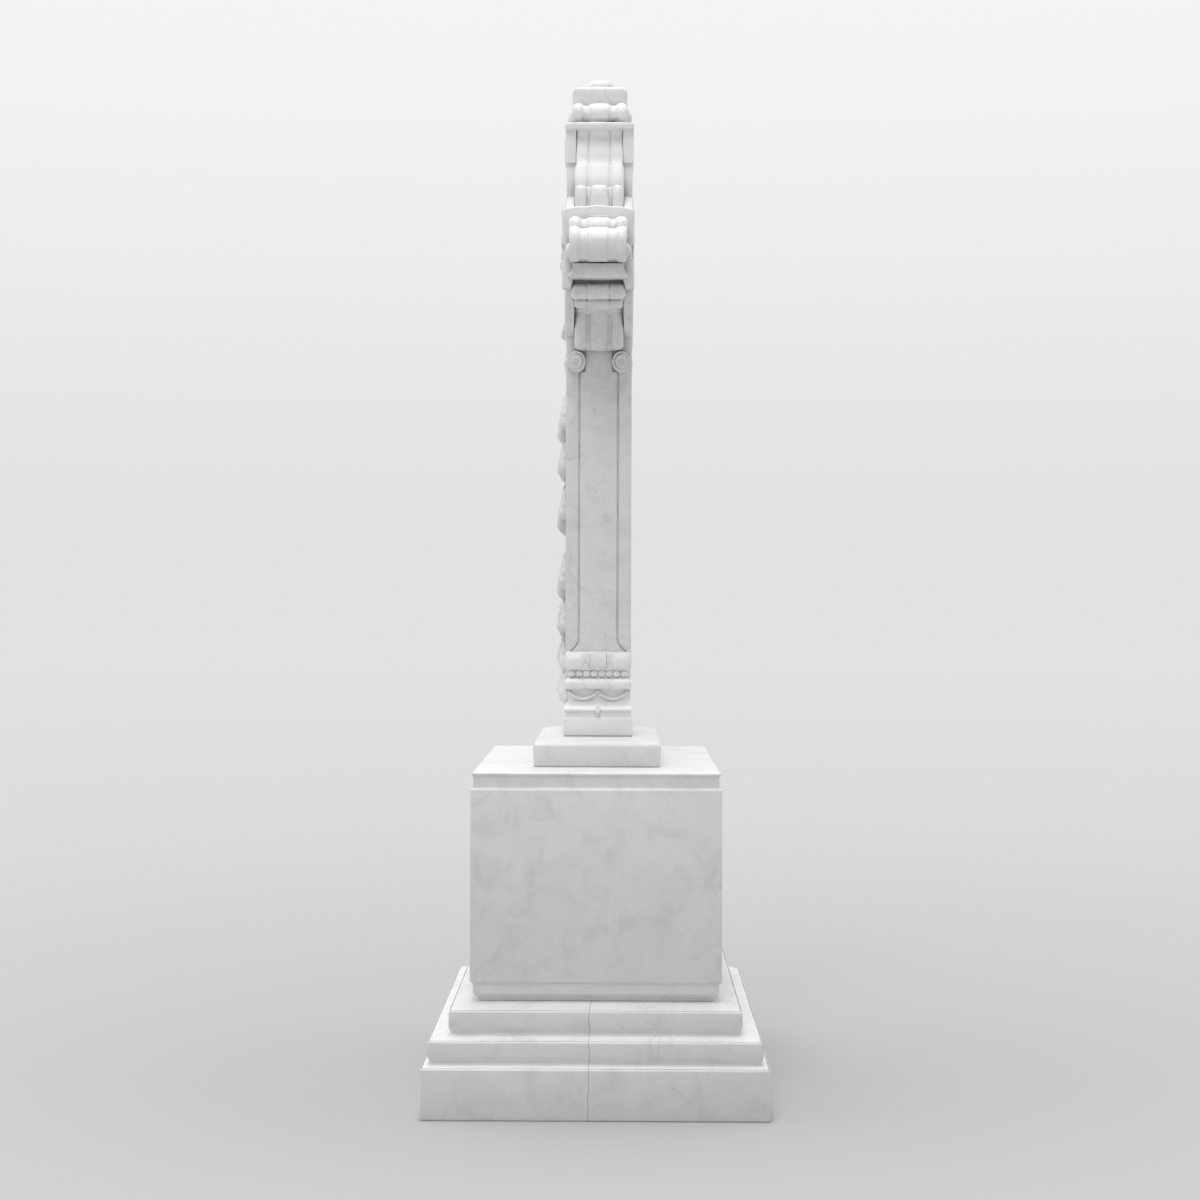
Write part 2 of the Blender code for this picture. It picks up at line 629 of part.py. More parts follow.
def terminal(angle, band, parts):
    """An arm from its sloping band to its outer end: neck, fans, arched cornice and two scrolls."""
    head_plate("arm_core", arm_core_outline(band), three_lobes(ARM_HALF_DEPTH), parts, angle)
    fan_plates(angle, parts)

    edge = CORNICE_THICKNESS / 4
    top = CORNICE_START + CORNICE_THICKNESS
    cornice = mirrored([(CORNICE_HALF_WIDTH - edge, CORNICE_START), (CORNICE_HALF_WIDTH, CORNICE_START + edge),
                        (CORNICE_HALF_WIDTH, top - edge), (CORNICE_HALF_WIDTH - edge, top)])
    rings = []
    for share in (-1.0, -0.6, 0.0, 0.6, 1.0):
        narrowing = 1 - CORNICE_ARCH / CORNICE_HALF_WIDTH * share ** 2
        ring = []
        for point in cornice:
            across = point.x * narrowing
            x = across * math.cos(angle) + point.y * math.sin(angle)
            z = point.y * math.cos(angle) - across * math.sin(angle)
            ring.append(Vector((x, CORNICE_HALF_DEPTH * share, HEAD_CENTRE + z)))
        rings.append(ring)
    loft("arm_cornice", rings, parts)

    for hand in (-1, 1):
        across = hand * SCROLL_ASIDE
        roll = circle(across, SCROLL_AT, SCROLL_RADIUS, SCROLL_POINTS)
        head_plate("arm_scroll", roll, scroll_sections(), parts, angle)
        rib = spiral_outline(across, SCROLL_AT, SCROLL_RADIUS - SCROLL_WAIST, hand)
        head_plate("arm_scroll_rib", rib, rib_sections(SCROLL_HALF_DEPTH, -1), parts, angle, True)

    web_half = SCROLL_ASIDE - WEB_INSET
    web = mirrored([(web_half, top - WEB_INSET), (web_half, CREST_AT - WEB_INSET)])
    head_plate("arm_web", web, flat_edge(CREST_HALF_DEPTH - WEB_INSET, PLATE_EDGE / 2), parts, angle)
    knob = circle(0.0, KNOB_AT, KNOB_RADIUS, SCROLL_POINTS)
    head_plate("face_knob", knob, flat_edge(KNOB_HALF_DEPTH, PLATE_EDGE), parts, angle)


def crest(angle, parts):
    """The belted roll between and beyond the scrolls of a side arm."""
    waist = SCROLL_WAIST
    sections = both_ways([
        (CREST_BELT_HALF, waist / 2),
        (CREST_BELT_HALF + waist / 2, waist),
        (CREST_HALF_DEPTH - 3 * waist, waist),
        (CREST_HALF_DEPTH - waist, 0.0),
        (CREST_HALF_DEPTH, waist / 2),
    ])
    roll = circle(0.0, CREST_AT, CREST_RADIUS, SCROLL_POINTS)
    head_plate("arm_crest", roll, sections, parts, angle)


def finial(parts):
    """The top arm's end: a soft block between its scrolls, and a low dome."""
    soft = CAP_ROUND * (1 - math.cos(math.pi / 4))
    block = mirrored([(CAP_HALF_WIDTH, CAP_START), (CAP_HALF_WIDTH, CAP_TOP - CAP_ROUND),
                      (CAP_HALF_WIDTH - soft, CAP_TOP - soft), (CAP_HALF_WIDTH - CAP_ROUND, CAP_TOP)])
    rounded = both_ways([(CAP_HALF_DEPTH - CAP_ROUND, 0.0), (CAP_HALF_DEPTH - soft, soft),
                         (CAP_HALF_DEPTH, CAP_ROUND)])
    head_plate("cap_block", block, rounded, parts)
    rings = []
    for up, out in ((-0.3, 1.0), (0.0, 1.0), (0.38, 0.92), (0.71, 0.71), (0.92, 0.38), (1.0, 0.1)):
        level = circle(0.0, 0.0, out, SCROLL_POINTS)
        height = HEAD_CENTRE + DOME_AT + DOME_RISE * up
        rings.append([Vector((point.x * DOME_HALF_WIDTH, point.y * DOME_HALF_DEPTH, height)) for point in level])
    loft("dome", rings, parts)


def leaf(across, height, turn, face, parts):
    """A leaf on the front. It hangs down, turned sideways, with its root in the stone and its tip lifted."""
    blade = bmesh.new()
    bmesh.ops.create_uvsphere(blade, u_segments=5, v_segments=4, radius=1.0)
    for vertex in blade.verts:
        narrowing = 1.0 - 0.35 * abs(vertex.co.z) + 0.15 * vertex.co.z
        vertex.co.x *= LEAF_HALF_WIDTH * narrowing
        vertex.co.y *= LEAF_HALF_DEPTH
        vertex.co.z *= LEAF_HALF_LENGTH
    place = Matrix.Translation((across, -face - LEAF_HALF_DEPTH * 0.6, height))
    place = place @ Matrix.Rotation(turn, 4, "Y") @ Matrix.Rotation(-LEAF_TILT, 4, "X")
    blade.transform(place)
    finish_skin("leaf", blade, parts)


def flower(across, height, face, radius, rise, petals, parts):
    """A round flower on the front, with lobed petals in two rows and a bud."""
    count = petals * 2
    outline = []
    for i in range(count):
        angle = 2 * math.pi * i / count
        reach = radius * (0.93 + 0.07 * math.cos(petals * angle))
        outline.append(Vector((across + reach * math.cos(angle), height - HEAD_CENTRE + reach * math.sin(angle))))
    sections = [
        (rise / 4 - face, 0.0),
        (-face - rise * 0.35, 0.0),
        (-face - rise * 0.62, radius * 0.16),
        (-face - rise * 0.50, radius * 0.40),
        (-face - rise * 0.90, radius * 0.50),
        (-face - rise, radius * 0.68),
    ]
    head_plate("flower", outline, sections, parts)


def spray(height, parts):
    """A hanging spray of paired leaves on the shaft's front, with a rose in its middle."""
    face = SHAFT_HALF_DEPTH
    flower(0.0, height, face, ROSE_RADIUS, ROSE_RISE, LOBES, parts)
    span = (SPRAY_LEAF_ROWS - 1) / 2
    for row in range(SPRAY_LEAF_ROWS):
        along = height + (span - row) * LEAF_SPACING * 1.35
        for hand in (-1, 1):
            shift = hand * LEAF_HALF_WIDTH * 1.25
            level = along + hand * LEAF_SPACING / 4
            leaf(shift, level, -hand * LEAF_SPREAD, face, parts)
    leaf(0.0, height - (span + 1.1) * LEAF_SPACING * 1.35, 0.0, face, parts)


def front_carving(parts):
    """A rosette in the head's centre, and two sprays down the shaft."""
    flower(0.0, HEAD_CENTRE, INNER_ARM_HALF_DEPTH, ROSETTE_RADIUS, ROSETTE_RISE, LOBES + 1, parts)
    spray(HEAD_CENTRE - UPPER_SPRAY_BELOW_CENTRE, parts)
    spray(HEAD_CENTRE - LOWER_SPRAY_BELOW_CENTRE, parts)


def join(item, parts, operation):
    """Each part is joined to the stone, or cut from it, in the order in which it was made."""
    for part in parts.objects:
        modifier = item.modifiers.new(part.name, "BOOLEAN")
        modifier.operation = operation
        modifier.solver = "EXACT"
        modifier.object = part
        part.hide_render = True
        part.display_type = "WIRE"


def ring_cross(collection):
    """The whole cross is one stone: foot, shaft, ring, arms and carving."""
    faces = make_collection("ring faces")
    bodies = make_collection("shoulders")
    gaps = make_collection("gaps between the arms")
    parts = make_collection("carved forms")

    rim = circle(0.0, 0.0, RING_RADIUS, RING_POINTS)
    cross = head_plate("ring_cross", rim, three_lobes(RING_HALF_DEPTH), collection)
    face = circle(0.0, 0.0, RING_FACE_RADIUS, RING_POINTS)
    head_plate("ring_face", face, flat_edge(RING_FACE_HALF_DEPTH, PLATE_EDGE), faces)
    for quarter in range(4):
        through = ((-2 * RING_HALF_DEPTH, 0.0), (2 * RING_HALF_DEPTH, 0.0))
        head_plate("gap", gap_outline(), through, gaps, quarter * math.pi / 2)

    foot_top = foot_mouldings(parts)
    shaft(foot_top, parts)
    capital_scrolls(parts)
    for side in (-1, 1):
        ring_bead(side, parts)
    inner_cross(parts)
    for angle in (0.0, math.pi):
        shoulder(angle, UPRIGHT_SHOULDER_HALF_WIDTH, UPRIGHT_SHOULDER_HALF_DEPTH, bodies)
    for angle in (-math.pi / 2, math.pi / 2):
        shoulder(angle, SIDE_SHOULDER_HALF_WIDTH, SIDE_SHOULDER_HALF_DEPTH, bodies)
        terminal(angle, SIDE_BAND_HALF_WIDTH, parts)
        crest(angle, parts)
    terminal(0.0, UPRIGHT_BAND_HALF_WIDTH, parts)
    finial(parts)
    front_carving(parts)

    join(cross, faces, "UNION")
    join(cross, bodies, "UNION")
    join(cross, gaps, "DIFFERENCE")
    join(cross, parts, "UNION")
    return cross


def build():
    clear_scene()
    memorial = make_collection("ringed cross memorial")
    stones = (
        (step_base(memorial), (0.80, 0.80, 0.81), 0.38),
        (die_block(memorial), (0.82, 0.82, 0.83), 0.36),
        (cross_slab(memorial), (0.83, 0.83, 0.84), 0.36),
        (ring_cross(memorial), (0.82, 0.82, 0.83), 0.40),
    )
    for stone, color, roughness in stones:
        stone.data.materials.append(marble(stone.name + " marble", color, roughness))
        stone.data.shade_smooth()
        stone.data.set_sharp_from_angle(angle=math.radians(30))


build()
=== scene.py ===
import math

import bpy
from mathutils import Matrix, Vector


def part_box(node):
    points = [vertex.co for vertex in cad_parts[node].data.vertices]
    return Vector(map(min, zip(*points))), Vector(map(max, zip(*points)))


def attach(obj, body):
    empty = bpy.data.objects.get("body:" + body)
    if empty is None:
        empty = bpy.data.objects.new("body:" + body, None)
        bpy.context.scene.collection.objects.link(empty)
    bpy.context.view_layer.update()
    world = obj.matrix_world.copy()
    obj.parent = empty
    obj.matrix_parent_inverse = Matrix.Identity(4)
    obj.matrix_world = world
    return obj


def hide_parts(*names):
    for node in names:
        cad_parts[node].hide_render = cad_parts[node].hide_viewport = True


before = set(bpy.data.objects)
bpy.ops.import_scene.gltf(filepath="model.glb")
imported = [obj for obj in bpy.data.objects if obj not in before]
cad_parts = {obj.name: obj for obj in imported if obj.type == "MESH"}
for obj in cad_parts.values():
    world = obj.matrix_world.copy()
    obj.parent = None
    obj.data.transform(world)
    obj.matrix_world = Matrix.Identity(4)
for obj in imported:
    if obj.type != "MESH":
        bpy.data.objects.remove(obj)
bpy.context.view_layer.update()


# Stepped base
# Three steps cut from one block of white marble, standing flat on the ground.
# The treads fall slightly to shed rain, and each riser is undercut at its foot.
base_low, base_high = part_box("stepped_base")
step_widths = (base_high.x, base_high.x - 0.0115, base_high.x - 0.025)
step_depths = (base_high.y, base_high.y - 0.010, base_high.y - 0.040)
step_tops = (0.0757, 0.1135, 0.1562)
tread_ends = (0.0806, 0.1224, base_high.z)
undercut = 0.0050
undercut_height = 0.0085
vein_grey = (0.30, 0.30, 0.32, 1.0)


def only(piece):
    """Leaves this piece alone selected and active, in object mode."""
    bpy.ops.object.select_all(action="DESELECT")
    piece.select_set(True)
    bpy.context.view_layer.objects.active = piece


def pick_faces(piece, wanted):
    """Opens the piece in edit mode with only the wanted faces selected."""
    only(piece)
    bpy.ops.object.mode_set(mode="EDIT")
    bpy.ops.mesh.select_mode(type="FACE")
    bpy.ops.mesh.select_all(action="DESELECT")
    bpy.ops.object.mode_set(mode="OBJECT")
    for face in piece.data.polygons:
        face.select = wanted(face)
    bpy.ops.object.mode_set(mode="EDIT")


def raise_courses(name, courses):
    """A stone grown from a flat start by extruding its top, course by course.

    Each course is a height with the half width and the half depth there.
    """
    start, half_x, half_y = courses[0]
    bpy.ops.object.select_all(action="DESELECT")
    bpy.ops.mesh.primitive_plane_add(size=2, location=(0, 0, start))
    stone = bpy.context.object
    stone.name = name
    stone.scale = (half_x, half_y, 1)
    bpy.ops.object.transform_apply(location=True, rotation=True, scale=True)
    pick_faces(stone, lambda face: True)
    height = start
    for next_height, next_x, next_y in courses[1:]:
        bpy.ops.mesh.extrude_region_move(TRANSFORM_OT_translate={"value": (0, 0, next_height - height)})
        bpy.ops.transform.resize(value=(next_x / half_x, next_y / half_y, 1))
        height, half_x, half_y = next_height, next_x, next_y
    bpy.ops.mesh.select_all(action="SELECT")
    bpy.ops.mesh.normals_make_consistent(inside=False)
    bpy.ops.object.mode_set(mode="OBJECT")
    return stone


def soften(piece, width, segments=4, angle=24):
    """Rounds the edges, as rubbing does, and applies the result."""
    only(piece)
    bevel = piece.modifiers.new("rubbed edges", "BEVEL")
    bevel.width = width
    bevel.segments = segments
    bevel.limit_method = "ANGLE"
    bevel.angle_limit = math.radians(angle)
    bevel.use_clamp_overlap = True
    bpy.ops.object.modifier_apply(modifier=bevel.name)
    bpy.ops.object.shade_smooth_by_angle(angle=math.radians(32))


class Value:
    """A shader socket that can be added, subtracted and multiplied, each time through a Math node."""

    def __init__(self, tree, socket):
        self.tree = tree
        self.socket = socket

    def node(self, kind, settings, inputs, output=0):
        """A new node with these settings, its inputs given as values or as constants."""
        made = self.tree.nodes.new(kind)
        for key, setting in settings.items():
            setattr(made, key, setting)
        for key, given in inputs.items():
            if isinstance(given, Value):
                self.tree.links.new(given.socket, made.inputs[key])
            else:
                made.inputs[key].default_value = given
        return Value(self.tree, made.outputs[output])

    def math(self, operation, first, second=0.0):
        return self.node("ShaderNodeMath", {"operation": operation}, {0: first, 1: second})

    def __add__(self, other):
        return self.math("ADD", self, other)

    def __mul__(self, other):
        return self.math("MULTIPLY", self, other)

    def __sub__(self, other):
        return self.math("SUBTRACT", self, other)

    def __rsub__(self, other):
        return self.math("SUBTRACT", other, self)

    __radd__ = __add__
    __rmul__ = __mul__


def band(field, low, high):
    """0 where the field is under low, 1 where it is over high, and smooth between."""
    settings = {"interpolation_type": "SMOOTHSTEP"}
    inputs = {"Value": field, "From Min": low, "From Max": high, "To Min": 0.0, "To Max": 1.0}
    return field.node("ShaderNodeMapRange", settings, inputs)


def blend_colors(mask, under, over):
    """The colour under, with the colour over laid on it as strongly as the mask says."""
    inputs = {0: mask, 6: under, 7: over}
    return mask.node("ShaderNodeMix", {"data_type": "RGBA", "blend_type": "MIX"}, inputs, 2)


def white_marble(name, shift, turn, vein_strength, roughness, hairline=0.0, shade_and_specks=0.0):
    """White marble with soft grey clouds, smudges and thin broken veins, honed to a dull sheen.

    The hairline is the strength of one thin dark vein through the stone near its middle plane.
    The last value is the strength of the painted shade that darkens hollows and recesses, and of grey specks
    on uneven stone.
    It also makes the stone paler round the cross's foot, and paints light on the neck of its top arm.
    """
    stone_white = (0.76, 0.755, 0.765, 1.0)
    material = bpy.data.materials.new(name)
    material.use_nodes = True
    tree = material.node_tree
    shader = tree.nodes["Principled BSDF"]
    shader.inputs["IOR"].default_value = 1.48
    shader.inputs["Specular IOR Level"].default_value = 0.42
    place = Value(tree, tree.nodes.new("ShaderNodeTexCoord").outputs["Object"])
    grain = place.node("ShaderNodeMapping", {}, {"Vector": place, "Location": shift, "Rotation": turn})

    def noise(scale, detail, rough, distortion):
        """A pattern fixed in the stone, with this many blotches to the metre."""
        inputs = {"Vector": grain, "Scale": scale, "Detail": detail, "Roughness": rough,
                  "Distortion": distortion}
        return grain.node("ShaderNodeTexNoise", {}, inputs)

    clouds = band(noise(5.5, 4.0, 0.55, 0.5), 0.44, 0.72)
    smudges = band(noise(21.0, 6.0, 0.62, 0.8), 0.45, 0.72)
    mottle = band(noise(13.0, 5.0, 0.62, 1.2), 0.42, 0.64)
    ridge = noise(3.1, 7.0, 0.60, 1.3) - 0.5
    vein = 1.0 - band(ridge.math("ABSOLUTE", ridge), 0.0, 0.012)
    thread = noise(8.3, 6.0, 0.58, 1.0) - 0.5
    threads = 1.0 - band(thread.math("ABSOLUTE", thread), 0.0, 0.010)
    broken = band(noise(4.2, 3.0, 0.5, 0.0), 0.50, 0.66)

    color = blend_colors(clouds * 0.42, stone_white, (0.66, 0.665, 0.685, 1.0))
    color = blend_colors(mottle * 0.30, color, (0.66, 0.655, 0.675, 1.0))
    color = blend_colors(smudges * 0.42, color, (0.55, 0.545, 0.565, 1.0))
    color = blend_colors((vein * 0.30 + threads * 0.20) * broken * vein_strength, color, vein_grey)
    if hairline:
        across = place.node("ShaderNodeSeparateXYZ", {}, {0: place}, 1)
        offset = across + 0.0068 + (noise(14.0, 4.0, 0.5, 0.0) - 0.5) * 0.016
        line = 1.0 - band(offset.math("ABSOLUTE", offset), 0.0002, 0.0009)
        color = blend_colors(line * hairline, color, (0.20, 0.18, 0.17, 1.0))
    if shade_and_specks:
        # Painted shade: the colour is darkened in hollows, creases and recesses found by ambient occlusion,
        # in uneven patches.
        hollow = 1.0 - grain.node("ShaderNodeAmbientOcclusion", {"samples": 8}, {"Distance": 0.022}, 1)
        patches = 0.55 + band(noise(34.0, 5.0, 0.65, 0.6), 0.40, 0.66) * 0.45
        color = blend_colors(band(hollow, 0.18, 0.85) * patches * shade_and_specks, color, (0.17, 0.165, 0.16, 1.0))
        specks = band(noise(70.0, 4.0, 0.7, 0.4), 0.54, 0.72)
        color = blend_colors(specks * 0.34 * shade_and_specks, color, (0.40, 0.39, 0.39, 1.0))
        up = place.node("ShaderNodeSeparateXYZ", {}, {0: place}, 2)
        foot = 1.0 - band(up, 0.655, 0.690)
        # Painted light: the neck of the top arm, under its cornice, is lightened towards white.
        painted_neck_light = band(up, 1.41, 1.44) * (1.0 - band(up, 1.49, 1.52))
        color = blend_colors((foot + painted_neck_light) * 0.62, color, (0.92, 0.915, 0.93, 1.0))
    tree.links.new(color.socket, shader.inputs["Base Color"])

    sheen = roughness + clouds * 0.05 - smudges * 0.04
    tree.links.new(sheen.socket, shader.inputs["Roughness"])
    relief = noise(55.0, 3.0, 0.5, 0.0) + noise(420.0, 2.0, 0.5, 0.0) * 0.25
    bump = grain.node("ShaderNodeBump", {}, {"Strength": 0.22, "Distance": 0.0011, "Height": relief})
    tree.links.new(bump.socket, shader.inputs["Normal"])
    return material


def set_piece(piece, material, slot, *nodes):
    """The finished piece takes its stone, rides on the one body and stands for its solid."""
    piece.data.materials.clear()
    piece.data.materials.append(material)
    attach(piece, "root")
    if nodes:
        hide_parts(*nodes)


def step_courses():
    """The three steps from the ground up: riser, rounded lip, sloping tread and undercut foot."""
    courses = [(base_low.z, step_widths[0], step_depths[0])]
    next_widths = step_widths[1:] + (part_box("die_block")[1].x,)
    next_depths = step_depths[1:] + (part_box("die_block")[1].y,)
    lip = 0.004
    for i in range(3):
        courses.append((step_tops[i], step_widths[i], step_depths[i]))
        courses.append((step_tops[i] + lip / 4, step_widths[i] - lip, step_depths[i] - lip))
        courses.append((tread_ends[i], next_widths[i] - undercut, next_depths[i] - undercut))
        if i < 2:
            courses.append((tread_ends[i] + undercut_height, next_widths[i], next_depths[i]))
    return courses


stepped_base = raise_courses("stepped_base_stone", step_courses())
soften(stepped_base, 0.0030)
base_marble = white_marble("base marble", (0.3, 1.1, -0.4), (0.4, 0.9, 0.2), 1.0, 0.40, 0.55)
set_piece(stepped_base, base_marble, "base_marble", "stepped_base")


# Die block
# The plain block that carries the cross, bedded on the top step in a thin dark joint.
# Its four sides stand a few millimetres proud between a set-back top margin and foot.
die_low, die_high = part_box("die_block")
die_margin = 0.0042
die_foot_inset = 0.0120
die_foot_height = 0.0075
die_lower_margin = 0.0220
die_upper_margin = 0.0262
die_x = die_high.x - die_margin
die_y = die_high.y - die_margin
die_foot = die_low.z + die_foot_height
die_field_low = die_foot + die_lower_margin
die_field_high = die_high.z - die_upper_margin
die_courses = [
    (die_low.z, die_high.x - die_foot_inset, die_high.y - die_foot_inset),
    (die_foot - 0.003, die_high.x - die_foot_inset, die_high.y - die_foot_inset),
    (die_foot + 0.004, die_x, die_y),
    (die_field_low - 0.003, die_x, die_y),
    (die_field_low, die_high.x, die_high.y),
    (die_field_high, die_high.x, die_high.y),
    (die_field_high + 0.003, die_x, die_y),
    (die_high.z - 0.008, die_x, die_y),
    (die_high.z - 0.005, die_x + 0.002, die_y + 0.002),
    (die_high.z - 0.0018, die_x + 0.002, die_y + 0.002),
    (die_high.z, die_x - 0.006, die_y - 0.006),
]
die_block = raise_courses("die_block_stone", die_courses)
soften(die_block, 0.0026)
block_marble = white_marble("block marble", (2.1, -0.6, 0.8), (1.1, 0.3, 0.7), 0.8, 0.36)
set_piece(die_block, block_marble, "block_marble", "die_block")


# Slab under the cross
# A low slab with a heavily rounded upper edge and a slightly raised middle,
# bedded on the block and carrying the cross.
slab_low, slab_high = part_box("cross_slab")
slab_raise = 0.0025
slab_raise_inset = 0.015
slab_rim = slab_high.z - slab_raise
slab_round = 0.0065
slab_courses = [
    (slab_low.z, slab_high.x - 0.0018, slab_high.y - 0.0018),
    (slab_rim - slab_round, slab_high.x, slab_high.y),
    (slab_rim - slab_round * 0.30, slab_high.x - slab_round * 0.30, slab_high.y - slab_round * 0.30),
    (slab_rim, slab_high.x - slab_round, slab_high.y - slab_round),
    (slab_rim + 0.0003, slab_high.x - slab_raise_inset, slab_high.y - slab_raise_inset),
    (slab_high.z, slab_high.x - slab_raise_inset - 0.004, slab_high.y - slab_raise_inset - 0.004),
]
cross_slab = raise_courses("cross_slab_stone", slab_courses)
soften(cross_slab, 0.0030)
slab_marble = white_marble("slab marble", (-1.4, 0.9, 1.7), (0.2, 1.3, 0.5), 0.8, 0.36)
set_piece(cross_slab, slab_marble, "slab_marble", "cross_slab")


# Cross foot
# The lower end of the cross: a plain block with a sloped top, then two soft rolls with hollow necks.
# The necks hold a row of small leaves and a hanging swag on each side.
cross_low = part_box("ring_cross")[0]
cross_marble = white_marble("cross marble", (0.7, 2.3, -1.9), (0.9, 0.4, 1.2), 0.9, 0.38, 0.0, 0.85)
foot_x = 0.0940
foot_y = 0.0545
neck_x = 0.0700
neck_y = 0.0476
roll_y = 0.0532
foot_block = cross_low.z + 0.0284
foot_slope = cross_low.z + 0.0396
neck_low = foot_slope + 0.0110
roll_low = neck_low + 0.0230
neck_high = roll_low + 0.0166
roll_high = neck_high + 0.0124
foot_top = roll_high + 0.0300


def roll_up(bottom, height, half_x, half_y):
    """The courses of a half-round roll between its two necks."""
    courses = []
    steps = 8
    least = 0.25
    for i in range(steps + 1):
        turn = math.pi * i / steps
        out = least + (1 - least) * math.sin(turn)
        courses.append((bottom + height * (1 - math.cos(turn)) / 2,
                        neck_x + (half_x - neck_x) * out, neck_y + (half_y - neck_y) * out))
    return courses


foot_courses = [
    (cross_low.z, foot_x - 0.002, foot_y - 0.002),
    (cross_low.z + 0.002, foot_x, foot_y),
    (foot_block, foot_x, foot_y),
    (foot_block + 0.002, foot_x - 0.0045, foot_y - 0.0030),
    (foot_slope - 0.001, foot_x - 0.0050, foot_y - 0.0032),
    (foot_slope, foot_x - 0.0010, foot_y - 0.0008),
    (foot_slope + 0.0022, foot_x - 0.0002, foot_y - 0.0002),
    (foot_slope + 0.0058, foot_x - 0.0040, foot_y - 0.0012),
    (foot_slope + 0.0088, foot_x - 0.0110, foot_y - 0.0030),
    (neck_low, neck_x + 0.006, neck_y + 0.002),
    (neck_low + 0.004, neck_x, neck_y),
    (roll_low - 0.001, neck_x, neck_y),
]
foot_courses += roll_up(roll_low, neck_high - roll_low, 0.0820, roll_y)
foot_courses.append((neck_high + 0.001, neck_x, neck_y))
foot_courses.append((roll_high - 0.001, neck_x, neck_y))
foot_courses += roll_up(roll_high, foot_top - roll_high, 0.0765, roll_y)
cross_foot = raise_courses("cross_foot", foot_courses)
soften(cross_foot, 0.0018, 3)


def bake_in(*pieces):
    """Applies what is left on the pieces, joins them and puts their origin at the frame's."""
    only(pieces[0])
    for piece in pieces:
        piece.select_set(True)
    bpy.ops.object.transform_apply(location=True, rotation=True, scale=True)
    if len(pieces) > 1:
        bpy.ops.object.join()
    bpy.context.scene.cursor.location = (0, 0, 0)
    bpy.ops.object.origin_set(type="ORIGIN_CURSOR")
    return pieces[0]


def relief_leaf(name, length, half_width, low, high, cup=0.35, veins=0.0007, blunt=0.9):
    """A solid leaf in relief, with a cupped face, a sunk midrib and rippled veins.

    It lies in the plane of X and Z with its root at the origin, its tip towards -Z and its face
    towards -Y, and rises from low at the root to high near the tip.
    """
    rows = 16
    lanes = 10
    back = -0.004
    tip_from = 0.78
    rib_depth = 0.0014
    rib_width = 0.12
    bpy.ops.object.select_all(action="DESELECT")
    bpy.ops.mesh.primitive_grid_add(x_subdivisions=lanes, y_subdivisions=rows, size=2, location=(0, 0, 0))
    blade = bpy.context.object
    blade.name = name
    pick_faces(blade, lambda face: True)
    bpy.ops.mesh.extrude_region_move(TRANSFORM_OT_translate={"value": (0, 0, 1)})
    bpy.ops.object.mode_set(mode="OBJECT")
    for vertex in blade.data.vertices:
        across, along, top = vertex.co
        share = (1 - along) / 2
        outline = math.sin(math.pi * min(1.0, 0.04 + 0.96 * share ** blunt)) ** 0.75
        edge = half_width * max(0.03, outline) * (1 + 0.05 * math.sin(share * 26))
        depth = back
        if top > 0.5:
            rise = low + (high - low) * math.sin(min(1.0, share * 1.15) * math.pi / 2) ** 1.3
            tip = max(0.0, share - tip_from) / (1 - tip_from)
            dome = (1 - cup * across ** 2) * (1 - 0.92 * tip ** 2)
            rib = rib_depth * math.exp(-(across / rib_width) ** 2) * min(1.0, 4 * share)
            ripple = veins * math.sin((share - abs(across) * 0.35) * 30) * min(1.0, abs(across) * 3)
            depth = rise * dome - rib + ripple
        vertex.co = Vector((across * edge, -depth, -share * length))
    pick_faces(blade, lambda face: True)
    bpy.ops.mesh.normals_make_consistent(inside=False)
    bpy.ops.object.mode_set(mode="OBJECT")
    bpy.ops.object.shade_smooth_by_angle(angle=math.radians(50))
    return blade


def copy_to(piece, matrix):
    """A copy with its own mesh, moved by the matrix."""
    twin = piece.copy()
    twin.data = piece.data.copy()
    twin.data.transform(matrix)
    bpy.context.scene.collection.objects.link(twin)
    return twin


def round_rope(name, points, radii, sides=3):
    """A carved rope or rib along the points, made a closed mesh. The radii follow the points."""
    path = bpy.data.curves.new(name, "CURVE")
    path.dimensions = "3D"
    path.bevel_depth = 1.0
    path.bevel_resolution = sides
    path.use_fill_caps = True
    spline = path.splines.new("POLY")
    spline.points.add(len(points) - 1)
    for spot, point, radius in zip(spline.points, points, radii):
        spot.co = (*point, 1)
        spot.radius = radius
    rope = bpy.data.objects.new(name, path)
    bpy.context.scene.collection.objects.link(rope)
    only(rope)
    bpy.ops.object.convert(target="MESH")
    pick_faces(rope, lambda face: True)
    bpy.ops.mesh.remove_doubles(threshold=0.00002)
    bpy.ops.mesh.normals_make_consistent(inside=False)
    bpy.ops.object.mode_set(mode="OBJECT")
    bpy.ops.object.shade_smooth()
    return rope


def turned_roll(name, across, up, profile, sides=48):
    """A roll turned about a line along Y, from a circle that is extruded and resized by the profile.

    The profile runs from the front to the back, as depth and radius.
    """
    depth, radius = profile[0]
    bpy.ops.object.select_all(action="DESELECT")
    bpy.ops.mesh.primitive_circle_add(vertices=sides, radius=radius, fill_type="NGON",
                                      location=(across, depth, up), rotation=(math.pi / 2, 0, 0))
    roll = bpy.context.object
    roll.name = name
    bpy.ops.object.transform_apply(location=True, rotation=True, scale=True)
    pick_faces(roll, lambda face: True)
    for next_depth, next_radius in profile[1:]:
        bpy.ops.mesh.extrude_region_move(TRANSFORM_OT_translate={"value": (0, next_depth - depth, 0)})
        bpy.ops.transform.resize(value=(next_radius / radius, 1, next_radius / radius))
        depth, radius = next_depth, next_radius
    bpy.ops.mesh.select_all(action="SELECT")
    bpy.ops.mesh.normals_make_consistent(inside=False)
    bpy.ops.object.mode_set(mode="OBJECT")
    bpy.ops.object.shade_smooth_by_angle(angle=math.radians(40))
    return roll


